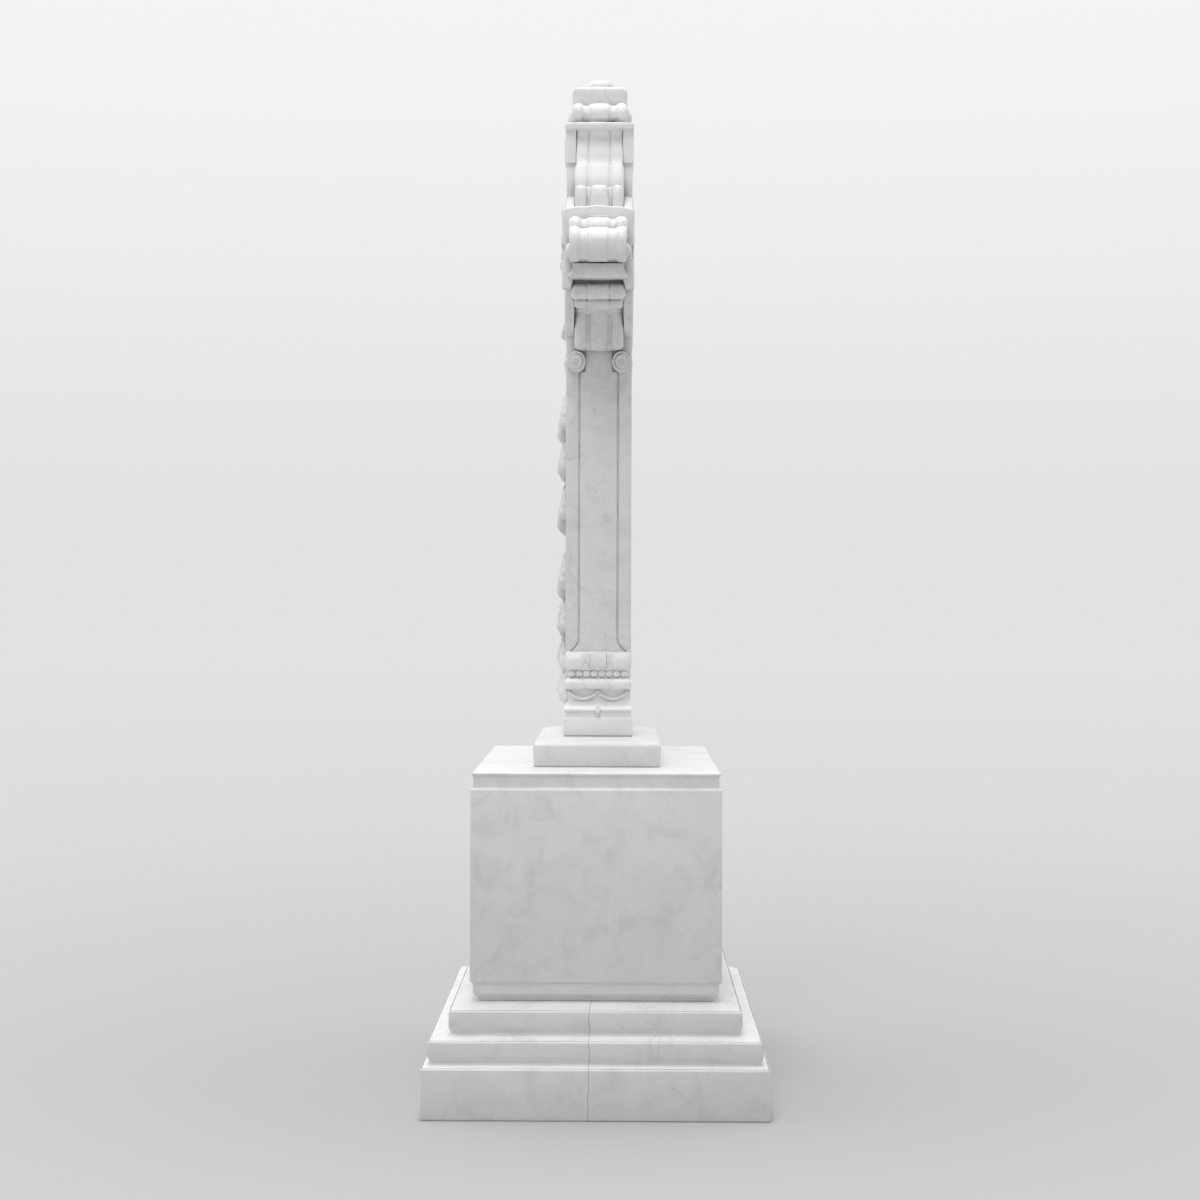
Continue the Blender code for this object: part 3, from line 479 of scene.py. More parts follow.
def foot_roll_profile(radius, half_depth, dip, ripple):
    """Three lobes along the roll, the middle one finely ribbed, and both ends rounded off."""
    steps = 240
    hollow_at = 0.0195
    hollow_width = 0.0044
    ribbed_half = 0.0140
    rib_pitch = 0.0040
    end_share = 0.12
    profile = []
    for i in range(steps + 1):
        depth = half_depth * (2 * i / steps - 1)
        place = abs(depth)
        reach = radius - dip * math.exp(-((place - hollow_at) / hollow_width) ** 2)
        if place < ribbed_half:
            reach += ripple * math.cos(depth * 2 * math.pi / rib_pitch) - ripple
        reach -= 0.30 * radius * max(0.0, (place / half_depth - 1 + end_share) / end_share) ** 2
        profile.append((depth, reach))
    return profile


def foot_trim():
    """Small leaves in the upper neck and a swag in the lower one, on all four sides.

    The two end sides also have a keel leaf on the block's slope, and rolls in three lobes.
    """
    small = relief_leaf("neck_leaf", 0.0115, 0.0056, 0.0030, 0.0052, 0.4, 0.0002)
    leaf_pitch = 0.0125
    swag_top = neck_low + 0.0195
    drop = 0.0125
    keel_lean = -0.42
    made = []
    for half_across, reach, turn in ((neck_y, neck_x, math.pi / 2), (neck_x, neck_y, 0.0),
                                     (neck_y, neck_x, -math.pi / 2), (neck_x, neck_y, math.pi)):
        count = round(2 * half_across / leaf_pitch)
        for i in range(count):
            across = (i + 0.5) / count * 2 * half_across - half_across
            place = Matrix.Rotation(turn, 4, "Z") @ Matrix.Translation((across, -reach, roll_high))
            made.append(copy_to(small, place))
        points = []
        for i in range(25):
            share = i / 24 * 2 - 1
            sag = drop * abs(math.sin(share * math.pi)) ** 0.8
            point = Vector((share * half_across * 0.98, -reach - 0.0012, swag_top - sag))
            points.append(Matrix.Rotation(turn, 4, "Z") @ point)
        made.append(round_rope("foot_swag", points, [0.0030] * len(points)))
    keel = relief_leaf("keel", 0.0180, 0.0042, 0.0020, 0.0030, 0.6, 0.0)
    for side in (-1, 1):
        turn = Matrix.Rotation(side * math.pi / 2, 4, "Z")
        place = turn @ Matrix.Translation((0, 0.0030 - foot_x, neck_low + 0.001))
        made.append(copy_to(keel, place @ Matrix.Rotation(keel_lean, 4, "X")))
        for rim, bottom, top, dip, ripple in ((0.0826, roll_high, foot_top, 0.0056, 0.0008),
                                              (0.0858, roll_low, neck_high, 0.0030, 0.0003)):
            radius = (top - bottom) / 2
            profile = foot_roll_profile(radius, 0.0500, dip, ripple)
            made.append(turned_roll("foot_roll", side * (rim - radius), (bottom + top) / 2, profile, 40))
    bpy.data.objects.remove(small, do_unlink=True)
    bpy.data.objects.remove(keel, do_unlink=True)
    return made


cross_foot = bake_in(cross_foot, *foot_trim())
set_piece(cross_foot, cross_marble, "cross_marble", "ring_cross")


# Shaft
# A tall rectangular shaft. A flat panel stands raised between two grooves on each side,
# spreads at its foot and narrows between the small scrolls at its top.
shaft_x = 0.0650
shaft_y = 0.0520
panel_half = 0.0290
panel_flare = 0.0420
panel_narrow = 0.0215
head_z = 1.2870
capital_z = head_z - 0.1490
shaft_bottom = foot_top - 0.012
shaft_top = head_z - 0.1050


def panel_outline(z):
    """Half the width of the raised side panel at this height."""
    flare_end = foot_top + 0.018
    if z < flare_end:
        share = max(0.0, (flare_end - z) / (flare_end - foot_top))
        return panel_half + (panel_flare - panel_half) * min(1.0, share) ** 1.6
    if z > capital_z - 0.015:
        return panel_narrow
    return panel_half


def side_panel():
    """The outline of a side's raised panel, as half its width and its height."""
    heights = [shaft_bottom + 0.004 + i * 0.003 for i in range(12)]
    heights += [capital_z - 0.0152, capital_z - 0.0148, shaft_top]
    right = [(panel_outline(z), z) for z in heights]
    return right + [(-across, z) for across, z in reversed(right)]


def cut_plate(name, outline, front, back, rounding, fineness=2):
    """A plate cut to an outline in the plane of X and Z, from the depth front to the depth back.

    Its outline is kept, and its edges are rounded inside it.
    """
    flat = bpy.data.curves.new(name, "CURVE")
    flat.dimensions = "2D"
    flat.fill_mode = "BOTH"
    flat.extrude = (back - front) / 2 - rounding
    flat.bevel_depth = rounding
    flat.bevel_resolution = fineness
    flat.offset = -rounding
    spline = flat.splines.new("POLY")
    spline.points.add(len(outline) - 1)
    spline.use_cyclic_u = True
    for spot, (across, up) in zip(spline.points, outline):
        spot.co = (across, up, 0, 1)
    plate = bpy.data.objects.new(name, flat)
    bpy.context.scene.collection.objects.link(plate)
    plate.rotation_euler = (math.pi / 2, 0, 0)
    plate.location = (0, (front + back) / 2, 0)
    only(plate)
    bpy.ops.object.convert(target="MESH")
    bpy.ops.object.transform_apply(location=True, rotation=True, scale=True)
    pick_faces(plate, lambda face: True)
    bpy.ops.mesh.remove_doubles(threshold=0.00002)
    bpy.ops.mesh.normals_make_consistent(inside=False)
    bpy.ops.object.mode_set(mode="OBJECT")
    bpy.ops.object.shade_smooth_by_angle(angle=math.radians(32))
    return plate


def shaft_body():
    """The core, the two raised side panels, and the bands beside them that turn the corners."""
    groove = 0.0030
    gap = 0.0026
    flank = shaft_x - 0.0014
    near_flank = -0.03
    flank_lean = 0.09
    core = raise_courses("shaft_core", [(shaft_bottom, shaft_x - groove, shaft_y - 0.004),
                                        (shaft_top, shaft_x - groove, shaft_y - 0.004)])
    made = [core]
    for side in (-1, 1):
        panel = cut_plate("side_panel", side_panel(), 0.040, shaft_x, 0.0011)
        panel.data.transform(Matrix.Rotation(side * math.pi / 2, 4, "Z"))
        made.append(panel)
        heights = [shaft_bottom + i * 0.003 for i in range(14)]
        heights += [capital_z - 0.0152 - gap, capital_z - 0.0148 - gap, shaft_top]
        inner = [(panel_outline(z + 0.0001) + gap, z) for z in heights]
        for hand in (-1, 1):
            outline = [(y, z) for y, z in inner] + [(shaft_y, shaft_top), (shaft_y, shaft_bottom)]
            corner = cut_plate("corner_band", outline, 0.0, flank, 0.0013)
            if hand < 0:
                corner.data.transform(Matrix.Scale(-1, 4, (1, 0, 0)))
                corner.data.flip_normals()
            for vertex in corner.data.vertices:
                lean = max(0.0, abs(vertex.co.x) - panel_half) * flank_lean
                vertex.co.y += lean if vertex.co.y < near_flank else 0.0
            corner.data.transform(Matrix.Rotation(side * math.pi / 2, 4, "Z"))
            made.append(corner)
    return made


shaft = bake_in(*shaft_body())
shaft.name = "shaft"
set_piece(shaft, cross_marble, "cross_marble", "ring_cross")


# Small scrolls at the shaft's top
# Four rolled scrolls face the two sides, and two more the front and the back,
# like a small capital that takes the ring.
def spiral_rib(name, across, up, depth, radius, hand, rib, turns):
    """A raised rib that winds in towards the scroll's eye, on a face at this depth."""
    count = 64
    inner_share = 0.58
    points = []
    radii = []
    for i in range(count + 1):
        share = i / count
        angle = math.pi / 2 + 2 * math.pi * turns * share
        reach = (radius - rib) * (1 - share) + radius * inner_share * share
        aside = hand * reach * math.cos(angle)
        points.append(Vector((across + aside, depth, up + reach * math.sin(angle))))
        radii.append(rib * (1 - 0.35 * share))
    return round_rope(name, points, radii, 2)


def scroll_end(across, up, radius, root, face, hand):
    """A scroll seen from its end: an outer coil, and a raised disc with a small eye.

    It runs from the depth root out to the depth face.
    """
    outward = -1 if face < root else 1
    rises = ((-0.0046, 1.0), (-0.0034, 0.97), (-0.0029, 0.88), (-0.0036, 0.74), (-0.0024, 0.68),
             (-0.0006, 0.63), (0.0, 0.52), (-0.0003, 0.30), (-0.0011, 0.20), (0.0005, 0.13), (0.0008, 0.03))
    disc = [(root, radius)] + [(face + outward * rise, radius * share) for rise, share in rises]
    made = [turned_roll("scroll_disc", across, up, disc if outward > 0 else list(reversed(disc)))]
    coil = face - outward * 0.0030
    made.append(spiral_rib("scroll_rib", across, up, coil, radius, hand, radius * 0.12, 1.1))
    return made


def capital_scrolls():
    """The four scrolls of the two sides, a little taller than round, and the front and back ones."""
    radius = 0.0150
    side_aside = 0.0355
    front_aside = 0.0460
    taller = Matrix.Translation((0, 0, capital_z)) @ Matrix.Diagonal((1, 1, 1.16, 1))
    taller = taller @ Matrix.Translation((0, 0, -capital_z))
    made = []
    for hand in (-1, 1):
        for side in (-1, 1):
            pieces = scroll_end(hand * side_aside, capital_z, radius * 0.97, -0.056, -0.0790, hand)
            for piece in pieces:
                piece.data.transform(taller)
                piece.data.transform(Matrix.Rotation(side * math.pi / 2, 4, "Z"))
            made += pieces
        made += scroll_end(hand * front_aside, capital_z, radius, 0.0, -0.0548, hand)
        made += scroll_end(hand * front_aside, capital_z, radius, 0.0, 0.0530, hand)
    return made


capital = bake_in(*capital_scrolls())
capital.name = "capital_scrolls"
set_piece(capital, cross_marble, "cross_marble", "ring_cross")


# Ring and inner cross
# The ring is pierced in each quarter and carries a rounded band on each face, over a sunk rim.
# The equal cross inside it stands a little proud.
ring_radius = 0.1150
ring_half_depth = 0.0380
ring_face_depth = 0.0500
ring_bead_depth = 0.0540
ring_face_radius = 0.1250
ring_bead_inner = 0.1035
ring_inner = 0.0980
lobe_at = 0.0170
lobe_drop = 0.0036


def lobe_inset(depth, half_depth):
    """How far a rim draws back from its full size at this depth, for three rounded lobes."""
    place = abs(depth)
    if place < lobe_at:
        share = place / lobe_at
    else:
        middle = (half_depth + lobe_at) / 2
        share = abs(place - middle) / ((half_depth - lobe_at) / 2)
    return lobe_drop * (1 - math.sqrt(max(0.0, 1 - min(1.0, share) ** 3)))


def ring_profile():
    """The ring's section as radius and depth, round from the inner side by the front and the rim."""
    half = []
    middle = (ring_face_radius + ring_bead_inner) / 2
    reach = (ring_face_radius - ring_bead_inner) / 2
    for i in range(17):
        turn = math.pi * i / 16
        half.append((middle - reach * math.cos(turn),
                     ring_face_depth + (ring_bead_depth - ring_face_depth) * math.sin(turn) ** 0.7))
    half.append((ring_face_radius + 0.0010, ring_face_depth - 0.0030))
    half.append((ring_face_radius + 0.0014, ring_half_depth + 0.0015))
    inner = [(ring_inner, 0.0), (ring_inner, ring_face_depth - 0.003),
             (ring_inner + 0.0008, ring_face_depth - 0.0009), (ring_inner + 0.003, ring_face_depth)]
    rim = []
    steps = 34
    for i in range(steps + 1):
        depth = ring_half_depth * (2 * i / steps - 1)
        rim.append((ring_radius - lobe_inset(depth, ring_half_depth), depth))
    front = [(radius, -depth) for radius, depth in inner + half]
    back = [(radius, depth) for radius, depth in reversed(inner[1:] + half)]
    return front + rim + back


def spun_ring():
    """The ring's section spun once round the head's centre."""
    profile = ring_profile()
    bpy.ops.object.select_all(action="DESELECT")
    bpy.ops.mesh.primitive_circle_add(vertices=len(profile), radius=1, location=(0, 0, 0))
    ring = bpy.context.object
    ring.name = "ring"
    for vertex, (radius, depth) in zip(ring.data.vertices, profile):
        vertex.co = (radius, depth, 0)
    bpy.ops.object.mode_set(mode="EDIT")
    bpy.ops.mesh.select_all(action="SELECT")
    bpy.ops.mesh.spin(steps=120, angle=2 * math.pi, center=(0, 0, 0), axis=(0, 1, 0))
    bpy.ops.mesh.select_all(action="SELECT")
    bpy.ops.mesh.remove_doubles(threshold=0.00002)
    bpy.ops.mesh.normals_make_consistent(inside=False)
    bpy.ops.object.mode_set(mode="OBJECT")
    ring.data.transform(Matrix.Translation((0, 0, head_z)))
    bpy.ops.object.shade_smooth_by_angle(angle=math.radians(35))
    return ring


def plus_outline(half, reach):
    """An equal cross round the head's centre, by half its arms' width and by their reach."""
    points = []
    for quarter in range(4):
        turn = Matrix.Rotation(quarter * math.pi / 2, 2)
        points += [turn @ Vector(point) for point in ((reach, -half), (reach, half), (half, half))]
    return [(point.x, point.y + head_z) for point in points]


ring = spun_ring()
inner_cross = cut_plate("inner_cross", plus_outline(0.0440, 0.1040), -0.0500, 0.0500, 0.0020)
raised_cross = cut_plate("raised_cross", plus_outline(0.0385, 0.1290), -0.0525, 0.0525, 0.0018)
ring = bake_in(ring, inner_cross, raised_cross)
set_piece(ring, cross_marble, "cross_marble", "ring_cross")


# Outer arms
# Each arm has a broad shoulder against the ring, a sloping band and a hollow neck, all in three lobes.
# A fan on the front and the back, a cornice, two belted scrolls and a belted crest roll end it.
top_arm_widths = (0.0885, 0.0150, 0.0780)
side_arm_widths = (0.0640, 0.0090, 0.0610)
shoulder_half_depth = 0.0388
neck_half_depth = 0.0368
shoulder_top = 0.1320
band_end = 0.1625
neck_half = 0.0490
neck_end = 0.2090
cornice_start = 0.2205
cornice_end = 0.2310
cornice_half = 0.0710
cornice_depth = 0.0545
scroll_along = 0.2495
scroll_aside = 0.0305
scroll_radius = 0.0195
crest_along = 0.2690
crest_radius = 0.0270


def mirrored(half):
    """A whole outline from its +X half, which runs outwards along the arm."""
    return half + [(-across, along) for across, along in reversed(half)]


def arc(across, along, radius, start, end, steps=8):
    """Points on an arc in the plane of the arm, by its centre, its radius and its angles in degrees."""
    points = []
    for i in range(steps + 1):
        turn = math.radians(start + (end - start) * i / steps)
        points.append((across + radius * math.cos(turn), along + radius * math.sin(turn)))
    return points


def shoulder_half(draw_in, half_width, rounding):
    """The right half of a shoulder, broad and rounded at its top, drawn in by this much."""
    across = half_width - draw_in
    half = [(across + 0.0010, 0.0700), (across - 0.0015, 0.1060), (across - 0.0030, shoulder_top - rounding)]
    return half + arc(across - 0.0033 - rounding, shoulder_top - rounding, rounding, 6, 90, 10)


def band_half(draw_in, half_width):
    """The right half of the sloping band between the shoulder and the neck."""
    across = half_width - draw_in
    half = [(across, 0.1200), (across, shoulder_top), (across - 0.0018, 0.1400)]
    return half + arc(across - 0.0085, band_end - 0.0030, 0.0030, 15, 90, 4)


def neck_outline(draw_in, half_width, under):
    """The whole neck. It narrows upwards and turns out in a cove under the cornice.

    Under a side arm the cove stops short, and the gap over the rounded bar shows dark.
    """
    low = half_width - 0.0105
    sides = []
    for hand in (1, -1):
        half = [(low, 0.1500)]
        for i in range(11):
            share = i / 10
            across = low + (neck_half - low) * math.sin(share * math.pi / 2)
            half.append((across, band_end + 0.0010 + share * (neck_end - band_end - 0.001)))
        if hand == under:
            half += [(0.0560, neck_end + 0.0030), (0.0600, 0.2150)]
        else:
            half += arc(neck_half + 0.0150, neck_end, 0.0150, 176, 100, 8)
            half.append((0.0650, cornice_start + 0.0040))
        sides.append([(hand * (across - draw_in), along) for across, along in half])
    return sides[0] + list(reversed(sides[1]))


def lobed_plates(name, outline, half_depth, rounding, fineness=4, gap=0.0004, dip=0.0022):
    """Three rounded lobes across the depth, on a thinner core that shows as the grooves between them.

    The outline is a function of how far it is drawn in. The grooves are two gaps wide, and dip deep.
    """
    made = [cut_plate(name + "_core", outline(dip), 0.003 - half_depth, half_depth - 0.003, 0.0004)]
    middle = lobe_at - gap
    made.append(cut_plate(name + "_middle", outline(0.0), -middle, middle, rounding, fineness))
    for side in (-1, 1):
        low, high = sorted((side * (lobe_at + gap), side * half_depth))
        made.append(cut_plate(name + "_lobe", outline(0.0), low, high, rounding, fineness))
    return made


def shoulder_plates(half_width, rounding):
    """The shoulder's three full lobes, with deep grooves between them."""
    return lobed_plates("shoulder", lambda draw_in: mirrored(shoulder_half(draw_in, half_width, rounding)),
                        shoulder_half_depth, rounding * 0.60, 5, 0.0012, 0.0052)


def shoulder_strap(half_width):
    """A thin strap that stands proud on the shoulder's middle lobe."""
    strap_half = [(half_width + 0.0006, 0.0800), (half_width - 0.0006, 0.1095)]
    return cut_plate("shoulder_strap", mirrored(strap_half), -0.0148, 0.0148, 0.0006)


def fan_plates():
    """The fan on the front and the back: a narrow foot, and a wider part that overhangs it."""
    made = []
    foot = [(0.0425, 0.1180), (0.0425, 0.1740)]
    fan_low = 0.1720
    fan_high = 0.2220
    fan = [(0.0490, 0.1705)]
    for i in range(9):
        share = i / 8
        fan.append((0.0492 + 0.0070 * share ** 1.6, fan_low + share * (fan_high - fan_low)))
    for side in (-1, 1):
        low, high = sorted((side * 0.0350, side * 0.0525))
        made.append(cut_plate("fan_foot", mirrored(foot), low, high, 0.0016))
        low, high = sorted((side * 0.0372, side * 0.0542))
        made.append(cut_plate("arm_fan", mirrored(fan), low, high, 0.0018))
    return made


def cut_across(name, outline, start, end, rounding):
    """A plate cut to an outline across the arm and through its depth, from start to end along the arm."""
    plate = cut_plate(name, outline, -end, -start, rounding)
    plate.data.transform(Matrix.Rotation(-math.pi / 2, 4, "X"))
    return plate


def cornice(under):
    """The cornice: arched and slightly waved ends, and a notch on each face.

    Underneath, a side arm's cornice stops short of the rounded bar.
    """
    outline = []
    for hand in (1, -1):
        side = []
        for i in range(33):
            share = 2 * i / 32 - 1
            wave = 0.0007 * math.cos(share * 9.0) - 0.0058 * abs(share) ** 2.2
            across = cornice_half - 0.0007 + wave
            if hand == under:
                across = 0.0400 if abs(share) < 0.75 else 0.0560
            side.append((across, cornice_depth * share))
        notch = [(0.0120, cornice_depth), (0.0100, cornice_depth - 0.0036)]
        side = [(across, -place) for across, place in reversed(notch)] + side + notch
        outline += [(hand * across, hand * place) for across, place in side]
    return cut_across("cornice", outline, cornice_start, cornice_end, 0.0026)


def smooth_profile(knots, half_depth, steps):
    """A roll's side view through its knots of depth and radius, eased between them, for both ends."""
    half = []
    for i in range(steps + 1):
        depth = half_depth * i / steps
        for (near, radius), (far, next_radius) in zip(knots, knots[1:]):
            if near <= depth <= far:
                share = (depth - near) / (far - near)
                ease = share * share * (3 - 2 * share)
                half.append((depth, radius + (next_radius - radius) * ease))
                break
    return [(-depth, radius) for depth, radius in reversed(half[1:])] + half


scroll_depth = 0.0443
scroll_knots = [(0.0, 0.0), (0.0105, 0.0006), (0.0205, 0.0042), (0.0240, 0.0040), (0.0315, 0.0003),
                (0.0360, 0.0), (0.0410, 0.0016), (0.0434, 0.0042), (scroll_depth, 0.0066)]
crest_depth = 0.0436
crest_knots = [(0.0, 0.0018), (0.0140, 0.0018), (0.0158, 0.0032), (0.0250, 0.0038), (0.0325, 0.0004),
               (0.0372, 0.0), (0.0412, 0.0014), (0.0430, 0.0036), (crest_depth, 0.0056)]


def drawn_in(knots, radius):
    """Knots of depth and radius, from knots of depth and how far each is drawn in."""
    return [(depth, radius - inset) for depth, inset in knots]


def strap(across, along, radius, half_width, start, end):
    """A thin strap that lies round a roll from one angle to another."""
    outer = arc(across, along, radius + 0.0012, start, end, 24)
    inner = arc(across, along, radius - 0.0040, end, start, 24)
    return cut_plate("strap", outer + inner, -half_width, half_width, 0.0004)


def face_knobs(radius, reach):
    """A low round knob between the scrolls, on the front and the back."""
    root = 0.0400
    along = 0.2500
    tip_radius = 0.0003
    made = []
    for side in (-1, 1):
        dome = []
        for i in range(9):
            turn = math.pi / 2 * i / 8
            depth = root + (reach - root) * math.sin(turn)
            dome.append((side * depth, tip_radius + radius * math.cos(turn)))
        made.append(turned_roll("face_knob", 0.0, along, dome if side > 0 else list(reversed(dome)), 40))
    return made


def scroll_pair(hands):
    """The belted scrolls of an arm's end, with a spiral on each face."""
    web = mirrored([(scroll_aside - 0.0060, cornice_end - 0.003),
                    (scroll_aside - 0.0120, crest_along - 0.006)])
    made = [cut_plate("scroll_web", web, -0.0385, 0.0385, 0.0015)]
    for hand in hands:
        aside = hand * scroll_aside
        profile = smooth_profile(drawn_in(scroll_knots, scroll_radius), scroll_depth, 48)
        made.append(turned_roll("scroll", aside, scroll_along, profile, 64))
        start, end = (-80, 24) if hand > 0 else (156, 260)
        made.append(strap(aside, scroll_along, scroll_radius - 0.0002, 0.0131, start, end))
        for side in (-1, 1):
            made += scroll_end(aside, scroll_along, scroll_radius * 0.77, side * 0.030, side * 0.0446, hand)
    return made


def crest(under):
    """The belted roll at a side arm's end, set a little above the arm's middle."""
    aside = -under * 0.0052
    profile = smooth_profile(drawn_in(crest_knots, crest_radius), crest_depth, 56)
    start, end = (0, 102) if under > 0 else (78, 180)
    return [turned_roll("crest", aside, crest_along, profile, 80),
            strap(aside, crest_along, crest_radius - 0.0020, 0.0133, start, end)]


def under_side(under):
    """Under a side arm: a flared corbel in place of the second scroll, and two soft bars.

    One bar lies under the cornice, and the smaller one by the ring.
    """
    flare = [(0.0210, 0.0375), (0.0290, 0.0385), (0.0330, 0.0400), (0.0365, 0.0428), (0.0390, 0.0450),
             (0.0412, 0.0452), (0.0424, 0.0430), (0.0422, 0.0300), (0.0430, 0.0120)]
    outline = flare + [(across, -place) for across, place in reversed(flare)]
    outline = [(under * across, place) for across, place in outline]
    corbel = cut_across("corbel", outline, cornice_start, 0.2600, 0.0016)
    bar_half = 0.0412
    bar_knots = [(0.0, 0.0004), (0.0150, 0.0), (0.0170, 0.0014), (0.0190, 0.0002), (0.0350, 0.0004),
                 (0.0395, 0.0030), (bar_half, 0.0065)]
    bar = smooth_profile(drawn_in(bar_knots, 0.0126), bar_half, 44)
    inner_half = 0.0380
    inner_knots = [(0.0, 0.0), (0.0150, 0.0), (0.0172, 0.0020), (0.0200, 0.0012), (0.0340, 0.0014),
                   (inner_half, 0.0040)]
    inner_bar = smooth_profile(drawn_in(inner_knots, 0.0085), inner_half, 40)
    return [corbel, turned_roll("under_bar", under * 0.0582, cornice_start, bar, 48),
            turned_roll("inner_bar", under * 0.0660, 0.1400, inner_bar, 40)]


def upright_arm(under):
    """All the forms of one outer arm, pointing up from the head's centre at the origin.

    Under is the side that faces down once the arm is turned, or 0 for the top arm.
    An arm's widths are the shoulder's half width and rounding, and the band's half width.
    """
    shoulder_width, rounding, band_width = side_arm_widths if under else top_arm_widths
    made = shoulder_plates(shoulder_width, rounding)
    made.append(shoulder_strap(shoulder_width))
    made += lobed_plates("sloping_band", lambda draw_in: mirrored(band_half(draw_in, band_width)),
                         shoulder_half_depth, 0.0048)
    made += lobed_plates("neck", lambda draw_in: neck_outline(draw_in, band_width, under),
                         neck_half_depth, 0.0030)
    made += fan_plates()
    made.append(cornice(under))
    if under:
        made += scroll_pair((-under,)) + crest(under) + under_side(under) + face_knobs(0.0112, 0.0488)
    else:
        made += scroll_pair((-1, 1)) + face_knobs(0.0175, 0.0512)
    return made


def face_ornament():
    """Three carved leaves that spread over the fan on the arm's front."""
    tall = relief_leaf("fan_leaf", 0.046, 0.0125, 0.0010, 0.0022)
    spread = 0.42
    made = []
    for lean in (-spread, 0.0, spread):
        turn = Matrix.Rotation(math.pi + lean, 4, "Y")
        made.append(copy_to(tall, Matrix.Translation((0.016 * math.sin(lean), -0.0540, 0.174)) @ turn))
    bpy.data.objects.remove(tall, do_unlink=True)
    return made


def finial():
    """The top arm alone ends in a block with rounded ends and a low dome on a thin rim."""
    half_width = 0.0440
    cap_top = 0.2968
    round_end = 0.0105
    outline = [(half_width, 0.2560)]
    outline += arc(half_width - round_end, cap_top - round_end, round_end, 4, 84, 10)
    outline.append((0.0180, cap_top))
    cap = cut_plate("cap_block", mirrored(outline), -0.0262, 0.0262, 0.0050)
    cap.data.transform(Matrix.Rotation(math.pi / 2, 4, "Z"))
    bpy.ops.object.select_all(action="DESELECT")
    bpy.ops.mesh.primitive_uv_sphere_add(segments=64, ring_count=32, radius=1, location=(0, 0, 0))
    dome = bpy.context.object
    dome.name = "dome"
    dome.data.transform(Matrix.Translation((0, 0, 0.2985)) @ Matrix.Diagonal((0.0200, 0.0226, 0.0145, 1)))
    bpy.ops.object.shade_smooth()
    bpy.ops.object.select_all(action="DESELECT")
    bpy.ops.mesh.primitive_cylinder_add(vertices=64, radius=1, depth=1, location=(0, 0, 0))
    rim = bpy.context.object
    rim.name = "dome_rim"
    rim.data.transform(Matrix.Translation((0, 0, cap_top)) @ Matrix.Diagonal((0.0210, 0.0240, 0.0034, 1)))
    soften(rim, 0.0014, 3)
    return [cap, dome, rim]


for arm_name, quarter in (("top_arm", 0), ("right_arm", 1), ("left_arm", -1)):
    arm = bake_in(*upright_arm(quarter), *face_ornament(), *([] if quarter else finial()))
    arm.name = arm_name
    arm.data.transform(Matrix.Translation((0, 0, head_z)) @ Matrix.Rotation(quarter * math.pi / 2, 4, "Y"))
    set_piece(arm, cross_marble, "cross_marble", "ring_cross")


# Lower shoulder
# Under the head the shaft has the same broad shoulder as the top arm has over it.
# Its three lobes show side by side between the ring and the small scrolls.
def lower_shoulder():
    """The top arm's shoulder, turned to point down."""
    made = shoulder_plates(*top_arm_widths[:2])
    turn = Matrix.Translation((0, 0, head_z)) @ Matrix.Rotation(math.pi, 4, "Y")
    for piece in made:
        piece.data.transform(turn)
    return made


shoulder = bake_in(*lower_shoulder())
shoulder.name = "lower_shoulder"
set_piece(shoulder, cross_marble, "cross_marble", "ring_cross")


# Front carving
# A rosette sits on the crossing, and two hanging sprays of leaves, each with an open rose,
# run down the front of the shaft.
def rose(across, up, face, radius, rise, rows):
    """An open rose in relief: rows of overlapping petals round a bud."""
    made = []
    for row, (count, reach, lift) in enumerate(rows):
        length = radius * reach
        high = rise * lift
        petal = relief_leaf("petal", length, length * 0.62, high * 0.55, high, 0.55, 0.0, 0.62)
        for i in range(count):
            turn = 2 * math.pi * (i + 0.5 * row) / count
            place = Matrix.Translation((across, -face, up)) @ Matrix.Rotation(turn, 4, "Y")
            made.append(copy_to(petal, place))
        bpy.data.objects.remove(petal, do_unlink=True)
    bud = [(-face - rise * 1.0, radius * 0.02), (-face - rise * 0.99, radius * 0.10),
           (-face - rise * 0.92, radius * 0.18), (-face - rise * 0.78, radius * 0.23), (-face, radius * 0.24)]
    made.append(turned_roll("bud", across, up, bud, 24))
    return made


def spray(roots, flower_at):
    """Long hanging leaves with lifted tips, one below another, each between two that spread sideways."""
    face = shaft_y - 0.0004
    full_length = 0.080
    side_lean = 0.52
    leaf = relief_leaf("spray_leaf", full_length, 0.0135, 0.0060, 0.0158, 0.35, 0.0008, 0.8)
    side_leaf = relief_leaf("side_leaf", 0.058, 0.0125, 0.0036, 0.0118)
    made = []
    for root, length in roots:
        scale = Matrix.Diagonal((1, 1, length / full_length, 1))
        made.append(copy_to(leaf, Matrix.Translation((0.001, -face, root)) @ scale))
        for hand in (-1, 1):
            turn = Matrix.Rotation(-hand * side_lean, 4, "Y")
            place = Matrix.Translation((hand * 0.006, -face, root - 0.012 + hand * 0.005))
            made.append(copy_to(side_leaf, place @ turn))
    bpy.data.objects.remove(leaf, do_unlink=True)
    bpy.data.objects.remove(side_leaf, do_unlink=True)
    high = roots[0][0] + 0.006
    low = roots[-1][0]
    stem = []
    for i in range(20):
        stem.append(Vector((0.003 * math.sin(i * 0.7), -face - 0.001, high + (low - high) * i / 19)))
    made.append(round_rope("stem", stem, [0.0028] * len(stem)))
    made += rose(0.0, flower_at, face, 0.0250, 0.0140, ((5, 1.0, 0.75), (5, 0.72, 0.92), (3, 0.48, 1.0)))
    return made


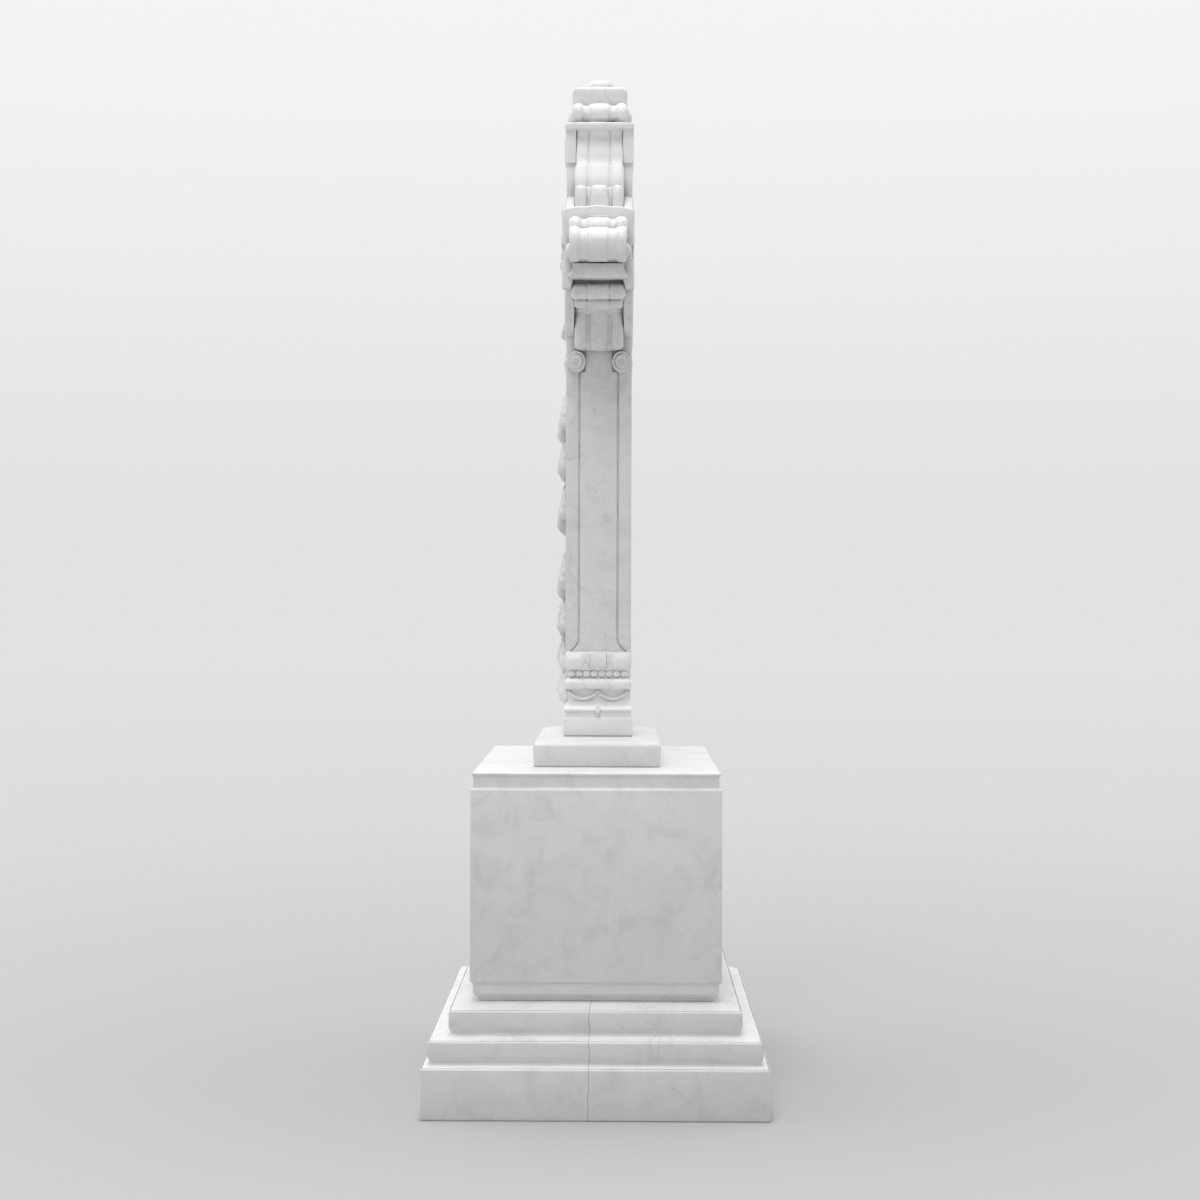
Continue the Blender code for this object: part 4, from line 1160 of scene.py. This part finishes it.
upper_roots = ((1.0880, 0.080), (1.0200, 0.066), (0.9440, 0.080))
lower_roots = ((0.8340, 0.076), (0.7640, 0.060), (0.7080, 0.054), (0.6580, 0.052))
carving = spray(upper_roots, head_z - 0.312) + spray(lower_roots, head_z - 0.550)
arm_leaf = relief_leaf("arm_leaf", 0.034, 0.0120, 0.0040, 0.0100)
for quarter in range(4):
    turn = Matrix.Translation((0, 0, head_z)) @ Matrix.Rotation(quarter * math.pi / 2, 4, "Y")
    carving.append(copy_to(arm_leaf, turn @ Matrix.Translation((0, -0.0520, -0.0740))))
bpy.data.objects.remove(arm_leaf, do_unlink=True)
carving += rose(0.0, head_z, 0.0520, 0.0350, 0.0066, ((8, 1.0, 0.6), (8, 0.66, 0.8), (5, 0.40, 1.0)))
front_carving = bake_in(*carving)
front_carving.name = "front_carving"
set_piece(front_carving, cross_marble, "cross_marble", "ring_cross")


# Floor
# A plain pale studio floor under the steps. Its glow is painted light that grows with distance
# until it meets the pale air at the horizon, and it glows least round the steps as painted shade.
bpy.ops.object.select_all(action="DESELECT")
bpy.ops.mesh.primitive_circle_add(vertices=96, radius=60.0, fill_type="NGON", location=(0, 0, 0))
floor = bpy.context.object
floor.name = "studio_floor"
floor_paint = bpy.data.materials.new("studio floor")
floor_paint.use_nodes = True
floor_tree = floor_paint.node_tree
floor_shader = floor_tree.nodes["Principled BSDF"]
floor_shader.inputs["Base Color"].default_value = (0.40, 0.40, 0.40, 1)
floor_shader.inputs["Roughness"].default_value = 0.9
floor_shader.inputs["Specular IOR Level"].default_value = 0.0
floor_shader.inputs["Emission Strength"].default_value = 1.0
floor_place = Value(floor_tree, floor_tree.nodes.new("ShaderNodeTexCoord").outputs["Object"])
distance = floor_place.node("ShaderNodeVectorMath", {"operation": "LENGTH"}, {0: floor_place}, 1)
fade_metres = 5.0
fading = distance * (-1 / fade_metres)
# Painted light: an emission that grows with distance, weakest round the steps as painted shade.
painted_floor_glow = blend_colors(1.0 - fading.math("EXPONENT", fading), (0.0, 0.0, 0.0, 1), (0.48, 0.48, 0.48, 1))
floor_tree.links.new(painted_floor_glow.socket, floor_shader.inputs["Emission Color"])
floor.data.materials.append(floor_paint)


# Light and camera
# A large soft light overhead, another high in front of the shown end, and weak fills from the sides.
# The lens is long and stands a quarter of a metre above the block's top.
def soft_light(name, place, target, size, power):
    """A square soft light at its place, turned to its target."""
    lamp = bpy.data.lights.new(name, "AREA")
    lamp.shape = "SQUARE"
    lamp.size = size
    lamp.energy = power
    lamp_object = bpy.data.objects.new(name, lamp)
    lamp_object.location = place
    lamp_object.rotation_euler = (Vector(target) - Vector(place)).to_track_quat("-Z", "Y").to_euler()
    bpy.context.scene.collection.objects.link(lamp_object)


soft_light("overhead", (0.2, -0.3, 9.0), (0, 0, 0.9), 3.0, 380)
soft_light("upper front", (4.8, -0.8, 6.6), (0, 0, 1.0), 3.4, 190)
soft_light("left fill", (1.0, -5.0, 2.0), (0, 0, 0.8), 2.4, 14)
soft_light("right fill", (1.0, 5.0, 2.0), (0, 0, 0.8), 2.4, 4)
world = bpy.data.worlds.new("studio air")
bpy.context.scene.world = world
world.use_nodes = True
air_tree = world.node_tree
direction = Value(air_tree, air_tree.nodes.new("ShaderNodeTexCoord").outputs["Generated"])
height = direction.node("ShaderNodeSeparateXYZ", {}, {0: direction}, 2)
air = blend_colors(band(height, 0.0, 0.27), (0.755, 0.755, 0.755, 1), (0.90, 0.90, 0.90, 1))
forward = direction.node("ShaderNodeSeparateXYZ", {}, {0: direction}, 0)
air = blend_colors(band(forward, -0.1, 0.7) * band(height, 0.0, 0.18), air, (0.22, 0.22, 0.22, 1))
air_tree.links.new(air.socket, air_tree.nodes["Background"].inputs["Color"])
air_tree.nodes["Background"].inputs["Strength"].default_value = 1.0

photo_pixels = 1200
lens_pixels = 2200
camera_distance = 3.55
camera_height = 0.763
camera_aside = math.radians(0.51)
camera_roll = math.radians(0.17)
axis_column = 598.6
horizon_row = 599.0
camera_data = bpy.data.cameras.new("camera")
camera_data.sensor_width = 36.0
camera_data.lens = 36.0 * lens_pixels / photo_pixels
camera_data.shift_x = (photo_pixels / 2 - axis_column) / photo_pixels
camera_data.shift_y = (horizon_row - photo_pixels / 2) / photo_pixels
camera = bpy.data.objects.new("camera", camera_data)
bpy.context.scene.collection.objects.link(camera)
camera.location = (camera_distance * math.cos(camera_aside), camera_distance * math.sin(camera_aside),
                   camera_height)
aim = Vector((0, 0, camera_height)) - camera.location
camera.rotation_euler = (aim.to_track_quat("-Z", "Y").to_matrix()
                         @ Matrix.Rotation(camera_roll, 3, "Z")).to_euler()
bpy.context.scene.camera = camera
bpy.context.scene.view_settings.view_transform = "Standard"
